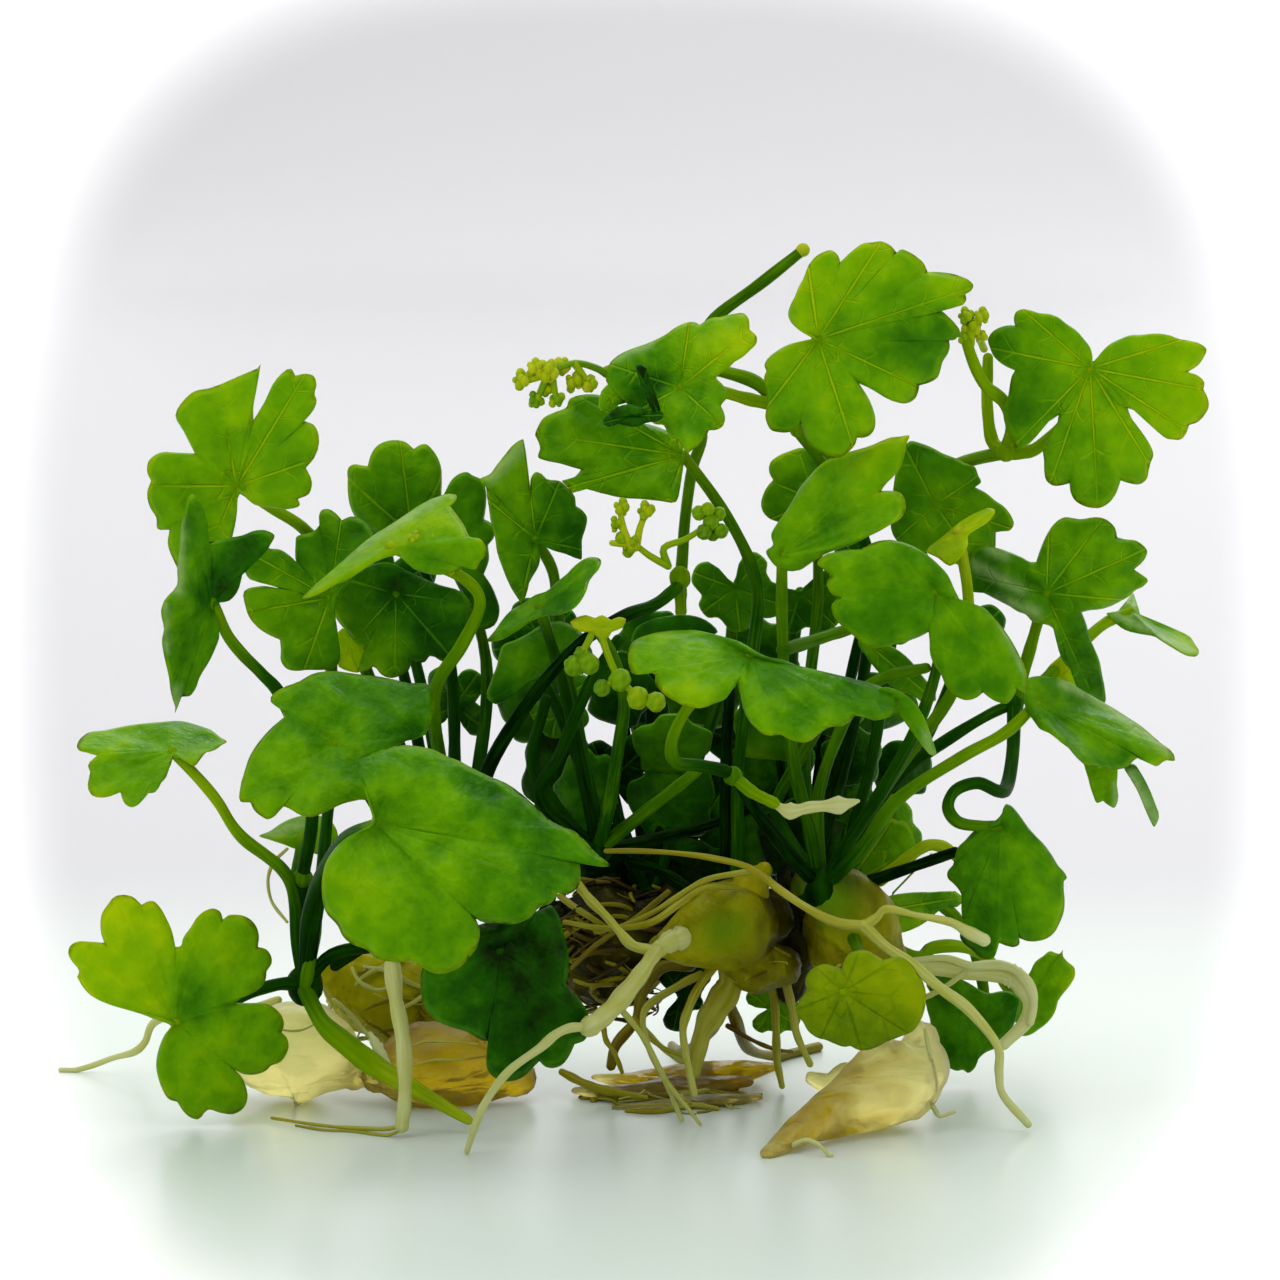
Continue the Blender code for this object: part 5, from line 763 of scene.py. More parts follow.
    low_left=bladeOf("""176 1022 -6; 80 980 0, 70 947 0, 116 894 0, 155 906 0, 210 908 0, 268 945 0, 289 1036 0,
    244 1104 0, 183 1114 0;
    170 1025, 157 1020, 142 1014, 120 1007, 100 1001, 90 995, 82 986, 77 977 1, 79 972, 72 962, 68 954, 70 946, 77 942,
    90 942, 104 943 1, 101 935, 100 925, 101 915, 107 905, 114 897, 122 895, 132 897, 141 905 1, 146 902, 152 901,
    159 907, 165 917, 171 930, 175 947 1, 180 946, 182 939, 190 927, 197 916, 205 910, 212 908, 219 911, 222 919 1,
    227 915, 236 914, 247 917, 255 925, 258 935, 257 946 1, 265 948, 270 954, 271 962, 266 970 1, 265 979, 261 986,
    252 992, 242 996, 236 1002 1, 250 1002, 265 1002, 275 1007, 282 1015, 284 1022, 282 1031 1, 287 1036, 289 1045,
    286 1054, 280 1061, 272 1064, 267 1069, 257 1073, 245 1073, 236 1069 1, 242 1075, 247 1085, 249 1097, 245 1107,
    235 1113, 222 1112, 210 1109, 200 1119, 192 1117, 185 1111, 179 1102 1, 170 1099, 164 1090, 159 1077, 157 1065,
    159 1050, 164 1037, 171 1026;
    110 930 0.88, 90 970 0.86, 140 950 0.78, 220 940 0.66, 240 970 0.6, 195 1000 0.34, 260 1030 0.62, 200 1080 0.6,
    230 1050 0.56, 150 1000 0.7""", dome=0.6, smooth=1),
    left_pale=bladeOf("""302 838 5; 258 838 0, 296 818 1.5, 338 828 0, 322 856 -1;
    306 846, 297 849, 285 845, 270 840, 259 836, 270 831, 280 824, 290 819, 300 816, 315 815, 330 820, 338 835,
    330 852, 315 854;
    270 834 0.6, 310 830 0.5;
    270 832 310 822 7""", dome=0.2, smooth=1),
)

for number, (name, leaf) in enumerate(leaves.items()):
    shapes = [blade(part, number + 5 * count) for count, part in enumerate((leaf, *leaf.get("parts", ())))]
    made = oliveLeafMade if "olive" in leaf else smoothLeafMade if "smooth" in leaf else leafMade
    addPiece("blade_" + name, shapes, made, ["leaf_" + name])
print("leaves made:", len(leaves))

# Small leaves at the back, which stay joined to their back stem: hub; tips; tone, and how far in a notch lies. Their
# dark tones are painted shade.
backRows = """
    385 600 14; 330 585 1, 365 540 0, 430 560 0, 440 630 1; 0.16 /
    345 755 12; 290 770 1, 320 700 0, 395 720 0, 400 790 1; 0.14 /
    450 830 16; 390 850 1, 410 775 0, 490 790 0, 520 870 1; 0.06 /
    560 700 10; 531 716 0, 552 738 0, 584 728 0, 590 680 1; 0.34 /
    735 588 10; 693 572 0, 702 612 0, 740 632 0, 784 606 0, 762 556 0; 0.36 0.48 /
    690 720 16; 630 725 1, 660 660 0, 735 680 0, 750 750 1; 0.12 /
    540 640 15; 492 650 1, 520 600 0, 572 610 0, 590 665 1; 0.16 /
    800 592 11; 768 600 0, 788 633 0, 836 626 0, 846 580 0; 0.26 0.48 /
    870 590 16; 815 600 1, 845 540 0, 925 550 0, 930 620 1; 0.2 /
    965 645 15; 935 660 1, 940 600 0, 1000 610 0, 1012 680 1; 0.24 /
    845 745 15; 805 745 1, 825 700 0, 868 705 0, 862 780 1; 0.12 /
    455 705 12; 425 720 1, 436 668 0, 478 672 0, 486 730 1; 0.24 /
    610 780 12; 566 800 1, 592 742 0, 652 740 0, 656 800 1; 0.1 /
    700 812 12; 655 850 1, 664 770 0, 738 772 0, 745 842 1; 0.08 /
    770 790 13; 735 830 1, 738 745 0, 806 742 0, 812 830 1; 0.12 /
    682 995 8.4; 663 967 0, 706 966 0, 702 1006 0, 673 1031 0; 0.02 0.56 /
    772 1008 7; 748 992 0, 790 985 0, 798 1026 0, 757 1031 0; 0.5 0.66"""
backLeaves = {f"back_leaf_{count}": row for count, row in enumerate(tableOf(backRows, numbers, spots, numbers), 1)}


# A plain lobed rim for a leaf at the back: round each tip an arc of places in the sense that the tips run, and a
# notch between neighbours.
def plainLeaf(hub, tips, tone, notch=0.38):
    centre = np.array(hub[:2], float)
    arms = np.array([tip[:2] for tip in tips], float) - centre
    sense = 1 if arms[0, 0] * arms[1, 1] - arms[0, 1] * arms[1, 0] > 0 else -1
    rim = [tuple(centre + 0.12 * (arms[0] + arms[-1]))]
    for i, arm in enumerate(arms):
        for turn, share in ((-24, 0.84), (-12, 0.98), (0, 1), (12, 0.98), (24, 0.84)):
            spin = math.radians(turn * sense)
            rim.append(tuple(centre + share * np.array([arm[0] * math.cos(spin) - arm[1] * math.sin(spin),
                                                        arm[0] * math.sin(spin) + arm[1] * math.cos(spin)])))
        if i < len(tips) - 1:
            rim.append((*(centre + notch * (arm + arms[i + 1])), 1))
    return dict(hub=hub, tips=tips, rim=rim, tones=[(*tip[:2], tone) for tip in tips])


# Full leaves inside the clump, darkened by painted shade, on stalks of their own from the back stem: hub, half width
# and height in columns, and tone.
innerLeaves = dict(
    back_stem_centre="""672 745 8 42 32 0.36, 672 800 9 46 46 0.26, 588 790 9 34 44 0.26, 614 872 10 48 34 0.02,
        556 770 11 36 50 0.1, 620 690 12 36 40 0.1, 704 690 13 46 40 0.32, 690 868 9 50 30 0, 530 700 13 34 44 0.3,
        650 640 13 36 34 0.14""",
    back_stem_right="""776 728 8 46 36 0.4, 852 756 10 32 34 0.2, 748 830 10 52 44 0.16, 770 780 11 44 44 0.2,
        884 836 9 38 44 0.5, 826 710 11 44 28 0.34, 800 840 7 46 44 0.06, 900 770 14 34 30 0.14, 760 650 14 44 34 0.3,
        842 792 12 36 34 0.26, 884 700 15 34 32 0.24""",
    back_stem_left="""480 880 11 60 44 0.03, 540 850 12 46 46 0.03""",
)


# A full leaf: its rim is an oval with five shallow lobes, a sum of two sines.
def fullLeaf(hub, half, tone, seed):
    turns = np.radians(np.arange(100, 440, 17))
    reach = 0.94 + 0.08 * np.sin(5 * turns + seed) + 0.04 * np.sin(9 * turns + seed * 2)
    rim = np.column_stack([hub[0] + half[0] * reach * np.cos(turns), hub[1] + half[1] * reach * np.sin(turns)])
    tips = [(hub[0] + half[0] * x, hub[1] + half[1] * y, behind) for x, y, behind in
            ((-0.6, 0.8, 1), (-1, 0, 1), (0, -1, 0), (1, 0, 1), (0.6, 0.8, 1))]
    return dict(hub=hub, tips=tips, rim=[tuple(place) for place in rim], dome=1.2,
                tones=[(*tip[:2], tone + 0.05 * math.sin(seed + k * 2)) for k, tip in enumerate(tips)])


# Stems: masses at the forks (column, row, depth, half sizes in mm, tone); stalks with their tones from base to tip,
# their places and the leaf, if any, whose hub the stalk reaches. The near-black tones of the back stems and their
# masses, of the inner leaves' stalks and of stalks in the clump's shade are painted shade.
stemMake = dict(radius=0.43, tipShare=0.78, knots=0.08, innerRadii=(0.36, 0.28), innerTones=(0, 0.06), innerArch=1.5,
                innerBehind=0.5, backBehind=0.35, leafBehind=0.05, hubPaler=0.12, toneSteps=12)
stemMake["radii"] = (stemMake["radius"], stemMake["radius"] * stemMake["tipShare"])
stems = dict(
    left_crown=dict(masses="305 985 -2.5 1.1 1 1.3 0.14, 303 878 -2.6 0.62 0.62 0.6 0.4", stalks="""
        0.14 0.5 0.84; 305 985 -2.5, 298 945 -2.5, 295 905 -2.6, 290 882 -2.8, 280 867 -3, 265 855 -3, 245 840 -3,
          232 825 -2.9, 218 802 -2.8, 200 780 -2.6; left_umbrella /
        0.08 0.2 0.66; 305 985 -2.5, 302 930 -2, 303 878 -2.6, 312 820 -4, 308 760 -5, 282 698 -6, 262 674 -6.5,
          243 655 -7, 228 636 -7.5, 218 615 -7.9; left_hanging /
        0.06 0.24; 305 985 -2.5, 314 930 -4, 322 870 -6, 328 810 -8; left_dome /
        0.05 0.3; 305 985 -2.5, 307 925 -4, 318 880 -7, 345 838 -14; front_big /
        0.14 0.4; 305 985 -2.5, 280 984 -3.6, 250 993 -4.2, 215 1008 -4.6; low_left /
        0.1 0.4; 305 985 -2.5, 298 930 -0.5, 296 880 2; left_pale /
        0.44 0.5 0.2; 305 985 -3.2, 314 940 -3, 318 900 -1, 330 850 1.4 /
        0.1 0.1; 305 985 -2.5, 332 955 -3.5, 380 946 -5, 440 946 -7; shadow"""),
    left_runner=dict(masses="455 865 3 1 0.9 1 0.1", stalks="""
        0.1 0.1; 455 865 3, 420 900 3, 380 935 2, 335 966 0.5 /
        0.24 0.5 0.7; 455 865 3, 446 790 0, 434 720 -3, 438 682 -4.5, 462 645 -5, 480 604 -5.5, 466 580 -5.6,
          430 563 -5.2; left_slanting /
        0.1 0.26; 455 865 3, 440 780 5, 420 680 5.5; left_dark /
        0.1 0.4; 455 865 3, 425 780 6.5, 345 705 5, 330 655 1.6; left_middle /
        0.1 0.8; 455 865 3, 410 770 8.5, 362 660 8.5, 336 580 5, 308 533 2, 272 508 0; left_top /
        0.1 0.2; 455 865 3, 455 760 9, 448 650 10; left_back /
        0.1 0.4; 455 865 3, 478 770 7, 486 660 7.5; left_small"""),
    main_stem=dict(masses="680 578 1.2 0.65 0.65 0.75 0.6, 803 250 2 0.42 0.42 0.42 1.1", stalks="""
        0.02 0.04 0.4 0.56; 480 812 -2, 490 765 -3, 530 700 -3.6, 576 647 -3.4, 622 617 -2, 650 607 -0.6, 668 595 0.4,
          680 578 1.2, 685 520 3.5, 692 470 5, 702 430 3.5; top_folded /
        0.5 0.6; 680 578 1.2, 681 612 1.8 /
        0.4 0.36; 702 430 3.5, 698 385 3.6, 702 345 3, 715 318 2.6, 760 284 2.3, 803 250 2"""),
    centre_left_stems=dict(masses="598 850 0 0.9 0.9 0.8 0.08", stalks="""
        0.08 0.5; 598 850 0, 588 780 3, 572 700 6, 558 620 6, 553 572 4; mid_left /
        0.05 0.3; 598 850 0, 580 760 0.3, 562 680 0.3; mid_diagonal /
        0.05 0.2; 598 850 0, 592 800 4, 566 730 6; mid_low /
        0.2 0.3 0.5; 598 850 0, 608 810 -2, 618 750 -3, 624 700 -3.2, 612 655 -4, 600 634 -4.5 /
        0.3 0.44; 598 850 0, 650 808 -2, 682 783 -2.2, 702 767 -2.2 /
        0.06 0.26; 598 850 0, 540 800 -0.6, 560 755 -1, 578 710 -0.8, 596 672 -0.8, 618 640 -0.4 /
        0.14 0.2; 590 848 0.6, 552 800 1.4, 532 760 1.6, 546 700 1.4 /
        0.02 0.02; 598 850 0, 660 838 2.5, 730 818 4, 775 790 6"""),
    centre_crown=dict(masses="", stalks="""
        0.2 0.26 0.5; 735 905 0, 738 850 1.5, 738 770 2, 752 660 2.5, 758 600 2.5, 751 565 2.8, 736 532 3, 715 498 3;
          top_middle /
        0.04 0.04; 726 880 2.6, 726 800 3.4, 727 740 3.6, 730 690 3.6 /
        0.02 0.02; 705 900 0, 660 872 1.5, 630 862 1.4"""),
    right_crown=dict(masses="822 890 -0.6 1.7 1.6 1.6 0.1, 733 776 -6 0.6 0.6 0.6 0.4", stalks="""
        0 0.06 0.5 0.72; 822 890 -0.6, 790 855 -3, 757 812 -5, 733 776 -6, 702 766 -7, 676 762 -8, 672 740 -9,
          690 705 -10, 720 680 -11; centre_front /
        0.5 0.72; 733 776 -6, 752 792 -6.5, 774 803 -7 /
        0.26 0.46; 822 890 -0.6, 810 830 -1, 795 770 -1.5, 786 700 -2, 782 620 -2.5; right_light /
        0.3 0.44; 822 890 -0.6, 817 820 0.6, 822 780 1.2, 840 731 1.8, 862 690 2.2 /
        0.2 0.4; 822 890 -0.6, 788 838 3, 776 806 3.4, 793 770 3.2, 811 740 3, 830 705 3 /
        0.2 0.4; 822 890 -0.6, 808 820 2, 806 720 5, 818 600 9.5; right_shaded /
        0.1 0.24 0.4; 822 890 -0.6, 846 845 -2, 885 785 -3, 920 720 -4, 940 650 -5; right_middle /
        0.1 0.5 0.95; 822 890 -0.6, 852 838 0.2, 897 770 0, 948 700 -1.2, 966 650 -1.5, 968 594 0; right_young /
        0.1 0.55 0.7; 822 890 -0.6, 860 850 -4, 897 800 -5.5, 960 758 -5.5, 1005 733 -5; right_drooping /
        0.36 0.46; 783 650 -2.3, 806 643 0, 834 634 2, 861 626 3 /
        0.4 0.46; 847 705 2, 872 684 0, 897 674 -2, 926 668 -4.4 /
        0.3 0.5; 848 922 0.6, 856 945 -4, 858 960 -10; front_round /
        0 0; 846 888 -0.6, 880 878 0, 955 852 1 /
        0.4 0.5 0.4; 848 922 0.6, 880 907 3, 930 900 4.5, 965 930 6, 982 980 7.5; right_low /
        0.5 0.72 0.66; 848 922 0.6, 913 957 2, 932 948 3, 955 946 4, 975 951 6, 990 961 8, 1006 985 10.4;
          right_low_back /
        0.8 0.9; 880 880 2.6, 903 862 3, 917 851 3.2, 930 845 3.4, 946 848 3.6, 958 858 3.8 /
        0.1 0.2; 848 922 0.6, 846 905 5; right_olive"""),
    right_stem=dict(masses="1014 704 2.8 0.6 0.6 0.65 0.24", stalks="""
        0.02 0.3; 846 858 2.6, 874 808 2.6, 905 770 2.4, 950 738 2.4, 990 714 2.6, 1014 704 2.8 /
        0.4 0.64; 1014 704 2.8, 1024 670 3.2, 1036 628 3.4; right_three /
        0.4 0.8; 1014 704 2.8, 1045 680 5, 1075 650 7, 1104 624 9; far_right /
        0.2 0.2 0.5; 1014 704 2.8, 1013 750 0, 1007 786 -3, 998 791 -5, 978 783 -6, 956 790 -6.4, 948 807 -6.6,
          958 822 -6.6, 980 826 -6.4; right_looped"""),
    upper_stem=dict(masses="778 405 -1 0.55 0.55 0.55 0.55", stalks="""
        0.05 0.16 0.6; 818 852 4.5, 845 760 8, 866 660 7.5, 872 575 1.5, 852 512 1, 822 463 0.5, 797 430 -0.5,
          778 405 -1 /
        0.55 0.66; 797 430 -0.5, 795 400 -1, 803 365 -2.4; top_big /
        0.6 0.84; 778 405 -1, 752 400 -0.8, 724 392 -0.6, 706 385 -0.2 /
        0.5 0.66; 778 405 -1, 757 383 0, 725 372 0.8, 690 364 1.4, 640 360 1.8, 606 372 1.2"""),
    top_right_stem=dict(masses="1006 452 2 0.6 0.6 0.6 0.66", stalks="""
        0.6 0.8; 1006 452 2, 1022 453 2.1, 1040 446 2.2, 1066 420 2.2; right_star /
        0.6 0.7; 1006 452 2, 1012 425 1.8, 1004 402 1.2, 984 384 0, 971 356 -0.6, 966 336 -0.8 /
        0.7 0.8; 1006 452 2, 992 440 3, 987 400 3, 988 358 2.4 /
        0.6 0.3 0.1; 1006 452 2, 960 464 6, 925 490 8.5, 908 560 11, 888 660 10, 872 760 6.5, 852 830 5 /
        0.3 0.3; 925 490 8.5, 930 500 6; right_dark"""),
    back_stem_left=dict(masses="440 885 9 0.8 0.8 0.8 0.05", stalks="""
        0.05 0.1; 440 885 9, 425 780 13, 405 680 15.5; back_leaf_1 /
        0.05 0.1; 440 885 9, 400 840 12, 365 790 13.5; back_leaf_2 /
        0.05 0.1; 440 885 9, 446 865 14; back_leaf_3 /
        0.05 0.16; 440 885 9, 452 800 11; back_leaf_12 /
        0.02 0.02; 440 885 9, 490 900 9.4, 525 905 9.8"""),
    back_stem_centre=dict(masses="650 900 8 0.9 0.9 0.9 0.05", stalks="""
        0.02 0.1; 650 900 8, 628 850 11; back_leaf_13 /
        0.02 0.1; 650 900 8, 685 860 11; back_leaf_14 /
        0.02 0.02; 650 900 8, 664 945 8.6; back_leaf_16 /
        0.05 0.2; 650 900 8, 610 800 10, 580 740 11; back_leaf_4 /
        0.1 0.4; 650 900 8, 690 780 11, 725 680 12; back_leaf_5 /
        0.05 0.1; 650 900 8, 660 830 15, 680 770 17.5; back_leaf_6 /
        0.05 0.1; 650 900 8, 600 820 14, 560 720 16.5; back_leaf_7"""),
    back_stem_right=dict(masses="800 915 8 0.9 0.9 0.9 0.05", stalks="""
        0.02 0.1; 800 915 8, 784 860 11.5; back_leaf_15 /
        0.1 0.4; 800 915 8, 788 960 7.6; back_leaf_17 /
        0.12 0.34; 800 915 8, 790 800 11, 792 670 12.5; back_leaf_8 /
        0.05 0.1; 800 915 8, 820 800 14, 850 680 18; back_leaf_9 /
        0.05 0.2; 800 915 8, 870 830 13, 930 730 17; back_leaf_10 /
        0.05 0.1; 800 915 8, 825 850 15, 845 790 17; back_leaf_11"""),
)

# Broad young lobes and folds that belong to a stem: drawn as small blades of their own.
lobes = dict(
    right_crown=[
        bladeOf("""874 912 2.4; 962 897 3, 928 918 2, 890 934 0;
        868 905, 885 897, 905 893, 930 892, 962 896, 962 903, 940 910, 926 922, 905 932, 886 934, 872 924;
        950 898 0.4, 900 925 0.62, 880 915 0.56""", dome=0.4),
        bladeOf("""893 893 4.4; 945 875 0, 920 892 0;
        892 896, 900 886, 915 879, 932 874, 947 873, 946 880, 930 887, 910 892;
        920 882 0.96;
        900 888 946 876 5""", dome=0.3),
        bladeOf("""866 642 1.6; 934 700 0;
        858 641, 868 636, 888 644, 906 656, 922 675, 936 700, 926 704, 914 696, 896 690, 880 674, 866 656;
        890 665 0.42, 925 695 0.5""", dome=0.4)],
    right_stem=[
        bladeOf("""1050 668 5.6; 1047 690 0, 1075 690 0, 1062 658 0;
        1043 680, 1050 665, 1062 657, 1072 670, 1078 690, 1066 694, 1052 692;
        1060 675 0.98""", dome=0.4)],
    left_runner=[
        bladeOf("""345 640 3.4; 341 628 0, 364 650 0, 360 672 0, 340 668 0;
        338 632, 343 628, 349 636, 365 649, 363 660, 360 672, 348 671, 339 667;
        352 652 0.96""", dome=0.4)],
)

for name, stem in stems.items():
    masses = spots(stem["masses"])
    shapes = [lump(mass[:3], mass[3:6], mass[6], seed=number, rows=10, columns=14)
              for number, mass in enumerate(masses)]
    leafShapes = [blade(lobe, number) for number, lobe in enumerate(lobes.get(name, []))]
    innerShapes = []
    for number, (x, y, depth, *half, tone) in enumerate(spots(innerLeaves.get(name, ""))):
        base = masses[0][:3]
        over = ((base[0] + x) / 2, (base[1] + y) / 2, max(base[2], depth) + stemMake["innerArch"])
        shapes.append(stalk([base, over, (x, y, depth + stemMake["innerBehind"])], stemMake["innerRadii"],
                            stemMake["innerTones"]))
        innerShapes.append(blade(fullLeaf((x, y, depth), half, tone, number + 3), number))
    for number, (tones, places, *goals) in enumerate(tableOf(stem["stalks"], numbers, spots, str.strip)):
        for goal in goals:
            if goal in backLeaves:
                hub, tips, tone = backLeaves[goal]
                places = [*places, (hub[0], hub[1], hub[2] + stemMake["backBehind"])]
                leafShapes.append(blade(plainLeaf(hub, tips, *tone), number))
            else:
                hub = leaves[goal]["hub"]
                places = [*places, (hub[0], hub[1], hub[2] + stemMake["leafBehind"])]
                # The stalk's tone at the hub follows its leaf's tones, painted shade included.
                tones = np.interp(np.linspace(0, 1, stemMake["toneSteps"]), np.linspace(0, 1, len(tones)), tones)
                tones[-1] = np.mean([spot[2] for spot in leaves[goal]["tones"]]) + stemMake["hubPaler"]
        shapes.append(stalk(places, stemMake["radii"], tones, knots=stemMake["knots"], seed=number))
    addPiece("stalks_of_" + name, shapes, stalkMade, [name])
    if leafShapes:
        addPiece("small_leaves_of_" + name, leafShapes, leafMade, [name])
    if innerShapes:
        addPiece("inner_leaves_of_" + name, innerShapes, smoothLeafMade, [name])
print("stems made:", len(stems))

# A pale dry bract lies along its stalk in front of the middle.
bract = dict(places=[(772, 803, -7), (790, 811, -7.2), (812, 807, -7.4), (840, 805, -7.5), (858, 801, -7.5)],
             radius=(0.2, 0.42, 0.36, 0.46, 0.12), tones=(0.86, 0.96))
addPiece("dry_bract", [stalk(bract["places"], bract["radius"], bract["tones"], 8, 12, 0.4, 0.25, 3)], rootMade,
         ["right_crown"])


swollenMake = dict(sides=48, each=10)


# A swollen tube along places with radii in mm, pushed in and out by waves that run round and along it.
# With a patch (column, row, depth, reach in mm) the second value is exp(-(distance / reach) squared) from it.
def swollen(places, radii, tones, waves, seed, patch=None, flat=1):
    rows = smoothPath(np.column_stack([seen(places), np.array(radii) * mm, tones]), swollenMake["each"])
    made = tube(np.column_stack([rows, 0 * rows[:, :1]]), swollenMake["sides"])
    count = len(made["points"])
    turn, along = made["flow"][:, 0] * 2 * math.pi, made["flow"][:, 1]
    push = (np.sin(3 * turn + 0.9 * along + seed) + 0.7 * np.sin(5 * turn - 1.7 * along + 2 * seed)
            + 0.5 * np.sin(9 * turn + 2.3 * along) + 0.35 * np.sin(14 * turn - 3.1 * along)) / 2.5
    core = np.array([np.interp(along, np.linspace(0, along.max(), len(rows)), rows[:, axis]) for axis in range(3)]).T
    push[-2:] = 0
    made["points"] = core + (made["points"] - core) * (1 + waves * push.reshape(count, 1))
    made["points"][:, 2] = np.maximum(made["points"][:, 2], 0) * flat
    if patch:
        apart = np.linalg.norm(made["points"] - seen(patch[:3]), axis=1) / (patch[3] * mm)
        made["look"][:, 1] = np.exp(-apart ** 2)
    return made


# A ball of strands: each an arc of an oval about its own axis, with its distance moved in and out by two sines.
def strandBall(place, sizes, count, seed, radius, tones):
    centre, made = seen(place)[0], []
    for number in range(count):
        mix = seed + number * goldenTurn
        lift = math.cos(number * 1.31 + seed) * 0.6
        axis = np.array([math.cos(mix) * 0.6, math.sin(mix) * 0.6 + 0.25, 1 - 0.5 * abs(lift)])
        axis /= np.linalg.norm(axis)
        first = np.cross(axis, [0.3, 1, 0.2])
        first /= np.linalg.norm(first)
        second = np.cross(axis, first)
        turn = mix * 1.7 + np.linspace(0, 1.7 + 0.9 * math.sin(number * 1.9), 16)
        out = 1.0 + 0.05 * np.sin(turn * 3 + number) + 0.04 * np.sin(turn * 7 + number * 2)
        ringed = (first * np.cos(turn)[:, None] + second * np.sin(turn)[:, None]) * math.sqrt(1 - lift * lift)
        path = centre + (ringed + axis * lift) * out[:, None] * np.array(sizes) * mm
        wide = radius * (1 + 0.6 * math.sin(number * 2.7)) * mm * (0.5 + 0.5 * np.sin(np.linspace(0.2, 2.94, 16)))
        path[:, 2] = np.maximum(path[:, 2], wide)
        tone = tones[0] + (tones[1] - tones[0]) * (0.5 + 0.5 * math.sin(number * 5.3)) + 0.1 * np.sin(turn * 2)
        made.append(tube(np.column_stack([path, wide, tone, 0 * tone]), 6))
    return made


# The swollen crowns: wedges and knobs of old stem, olive and amber, some with a green patch. The darker right end of
# the centre crown, the near-black mass behind the right crown and the darkest parts of the mass and fibres at the back
# are painted shade. Each has its places, radii in mm, tones along it, its waves and its patch. Their balls of fibres:
# place, half sizes in mm, how many, seed, radius in mm and range of tones.
crowns = dict(
    centre_crown="""
        660 946 -2.6, 686 940 -1.8, 712 932 -1, 738 924 -0.3, 764 918 0.6; 0.7 1.7 2.4 2.8 1.8;
          0.66 0.86 0.84 0.56 0.2; 0.06; 722 930 -3.6 1.7 /
        742 908 -0.2, 752 886 -0.5, 764 870 -0.8; 1.7 1.15 0.5; 0.74 0.84 0.8; 0.05 /
        728 950 -0.2, 752 962 0.2, 780 966 0.8; 1.2 1.8 1.3; 0.62 0.5 0.4; 0.08""",
    right_crown="""
        812 888 -0.6, 838 902 -0.3, 862 930 0.1, 882 956 0.6; 1.3 2.2 2.5 1.5; 0.3 0.5 0.66 0.66; 0.07;
          830 900 -3 2.1 /
        826 926 0.4, 842 950 0.2, 858 975 0.4; 1.5 2 1.4; 0.3 0.52 0.5; 0.08 /
        792 880 3.2, 796 935 3.4, 790 988 3.4; 1 1.5 1; 0 0.03 0.08; 0.08""",
    left_crown="""
        332 972 6.4, 360 986 7.4, 396 1000 8, 436 1012 8, 474 1022 7.4; 1.2 2.5 2.8 2.5 1.3; 0.84 0.98 0.94 0.8 0.6;
          0.1""",
    back_stem_centre="""
        560 926 6.8, 596 932 7.4, 636 930 7.8, 668 912 8; 1.6 3 2.9 1.9; 0.1 0.2 0.16 0.06; 0.1 /
        566 958 7.8, 594 974 7.8, 626 972 7.8, 650 956 8; 1.1 1.8 1.8 1.2; 0.2 0.3 0.24 0.14; 0.1""",
)
strandBalls = dict(
    centre_crown=[((756, 962, 0.3), (2.0, 1.9, 1.5), 16, 1, 0.12, (0.3, 0.62))],
    right_crown=[((846, 954, 0.2), (2.1, 1.9, 2.0), 12, 3, 0.1, (0.4, 0.62))],
    left_crown=[((384, 1000, 7.2), (3.3, 2.9, 2.7), 34, 4, 0.11, (0.4, 0.86))],
    back_stem_centre=[((598, 930, 7.4), (3.3, 3.1, 3.2), 46, 5, 0.15, (0.1, 0.5)),
                      ((598, 972, 6.2), (2.7, 2.4, 2.6), 34, 8, 0.12, (0.16, 0.56)),
                      ((628, 990, 5.6), (2.2, 2.0, 2.0), 22, 11, 0.11, (0.12, 0.5)),
                      ((648, 928, 7.8), (2.6, 2.8, 2.7), 26, 6, 0.11, (0.02, 0.36))],
)
for name, chains in crowns.items():
    chains = tableOf(chains, spots, numbers, numbers, float, numbers)
    shapes = [swollen(places, radii, tones, waves, count + 2, *patch)
              for count, (places, radii, tones, waves, *patch) in enumerate(chains)]
    addPiece("crown_of_" + name, shapes, crownMade, [name])
    strands = [strand for ball in strandBalls[name] for strand in strandBall(*ball)]
    addPiece("fibres_of_" + name, strands, rootMade, [name])
print("crowns made")


# A floret: small rounded lobes round a heart, each an oval lump out along a direction of a spiral round the sphere.
def floret(place, radius, tone, petals, seed):
    made = [lump(place, (radius * 0.6,) * 3, tone - 0.15, 0.2, seed, 8, 12)]
    for number in range(int(petals)):
        lift = 1 - 2 * (number + 0.5) / petals
        turn = goldenTurn * number + seed
        flat = math.sqrt(1 - lift * lift)
        out = radius * (0.62 + 0.14 * math.sin(number * 2.3 + seed))
        spot = (place[0] + flat * math.cos(turn) * out / columnMm, place[1] - lift * out / columnMm,
                place[2] + flat * math.sin(turn) * out)
        size = radius * (0.4 + 0.1 * math.sin(number * 3.1 + seed))
        made.append(lump(spot, (size, size, size * 1.15), tone + 0.14 * math.sin(number * 1.7), 0.14, number + seed,
                         8, 12))
    return made


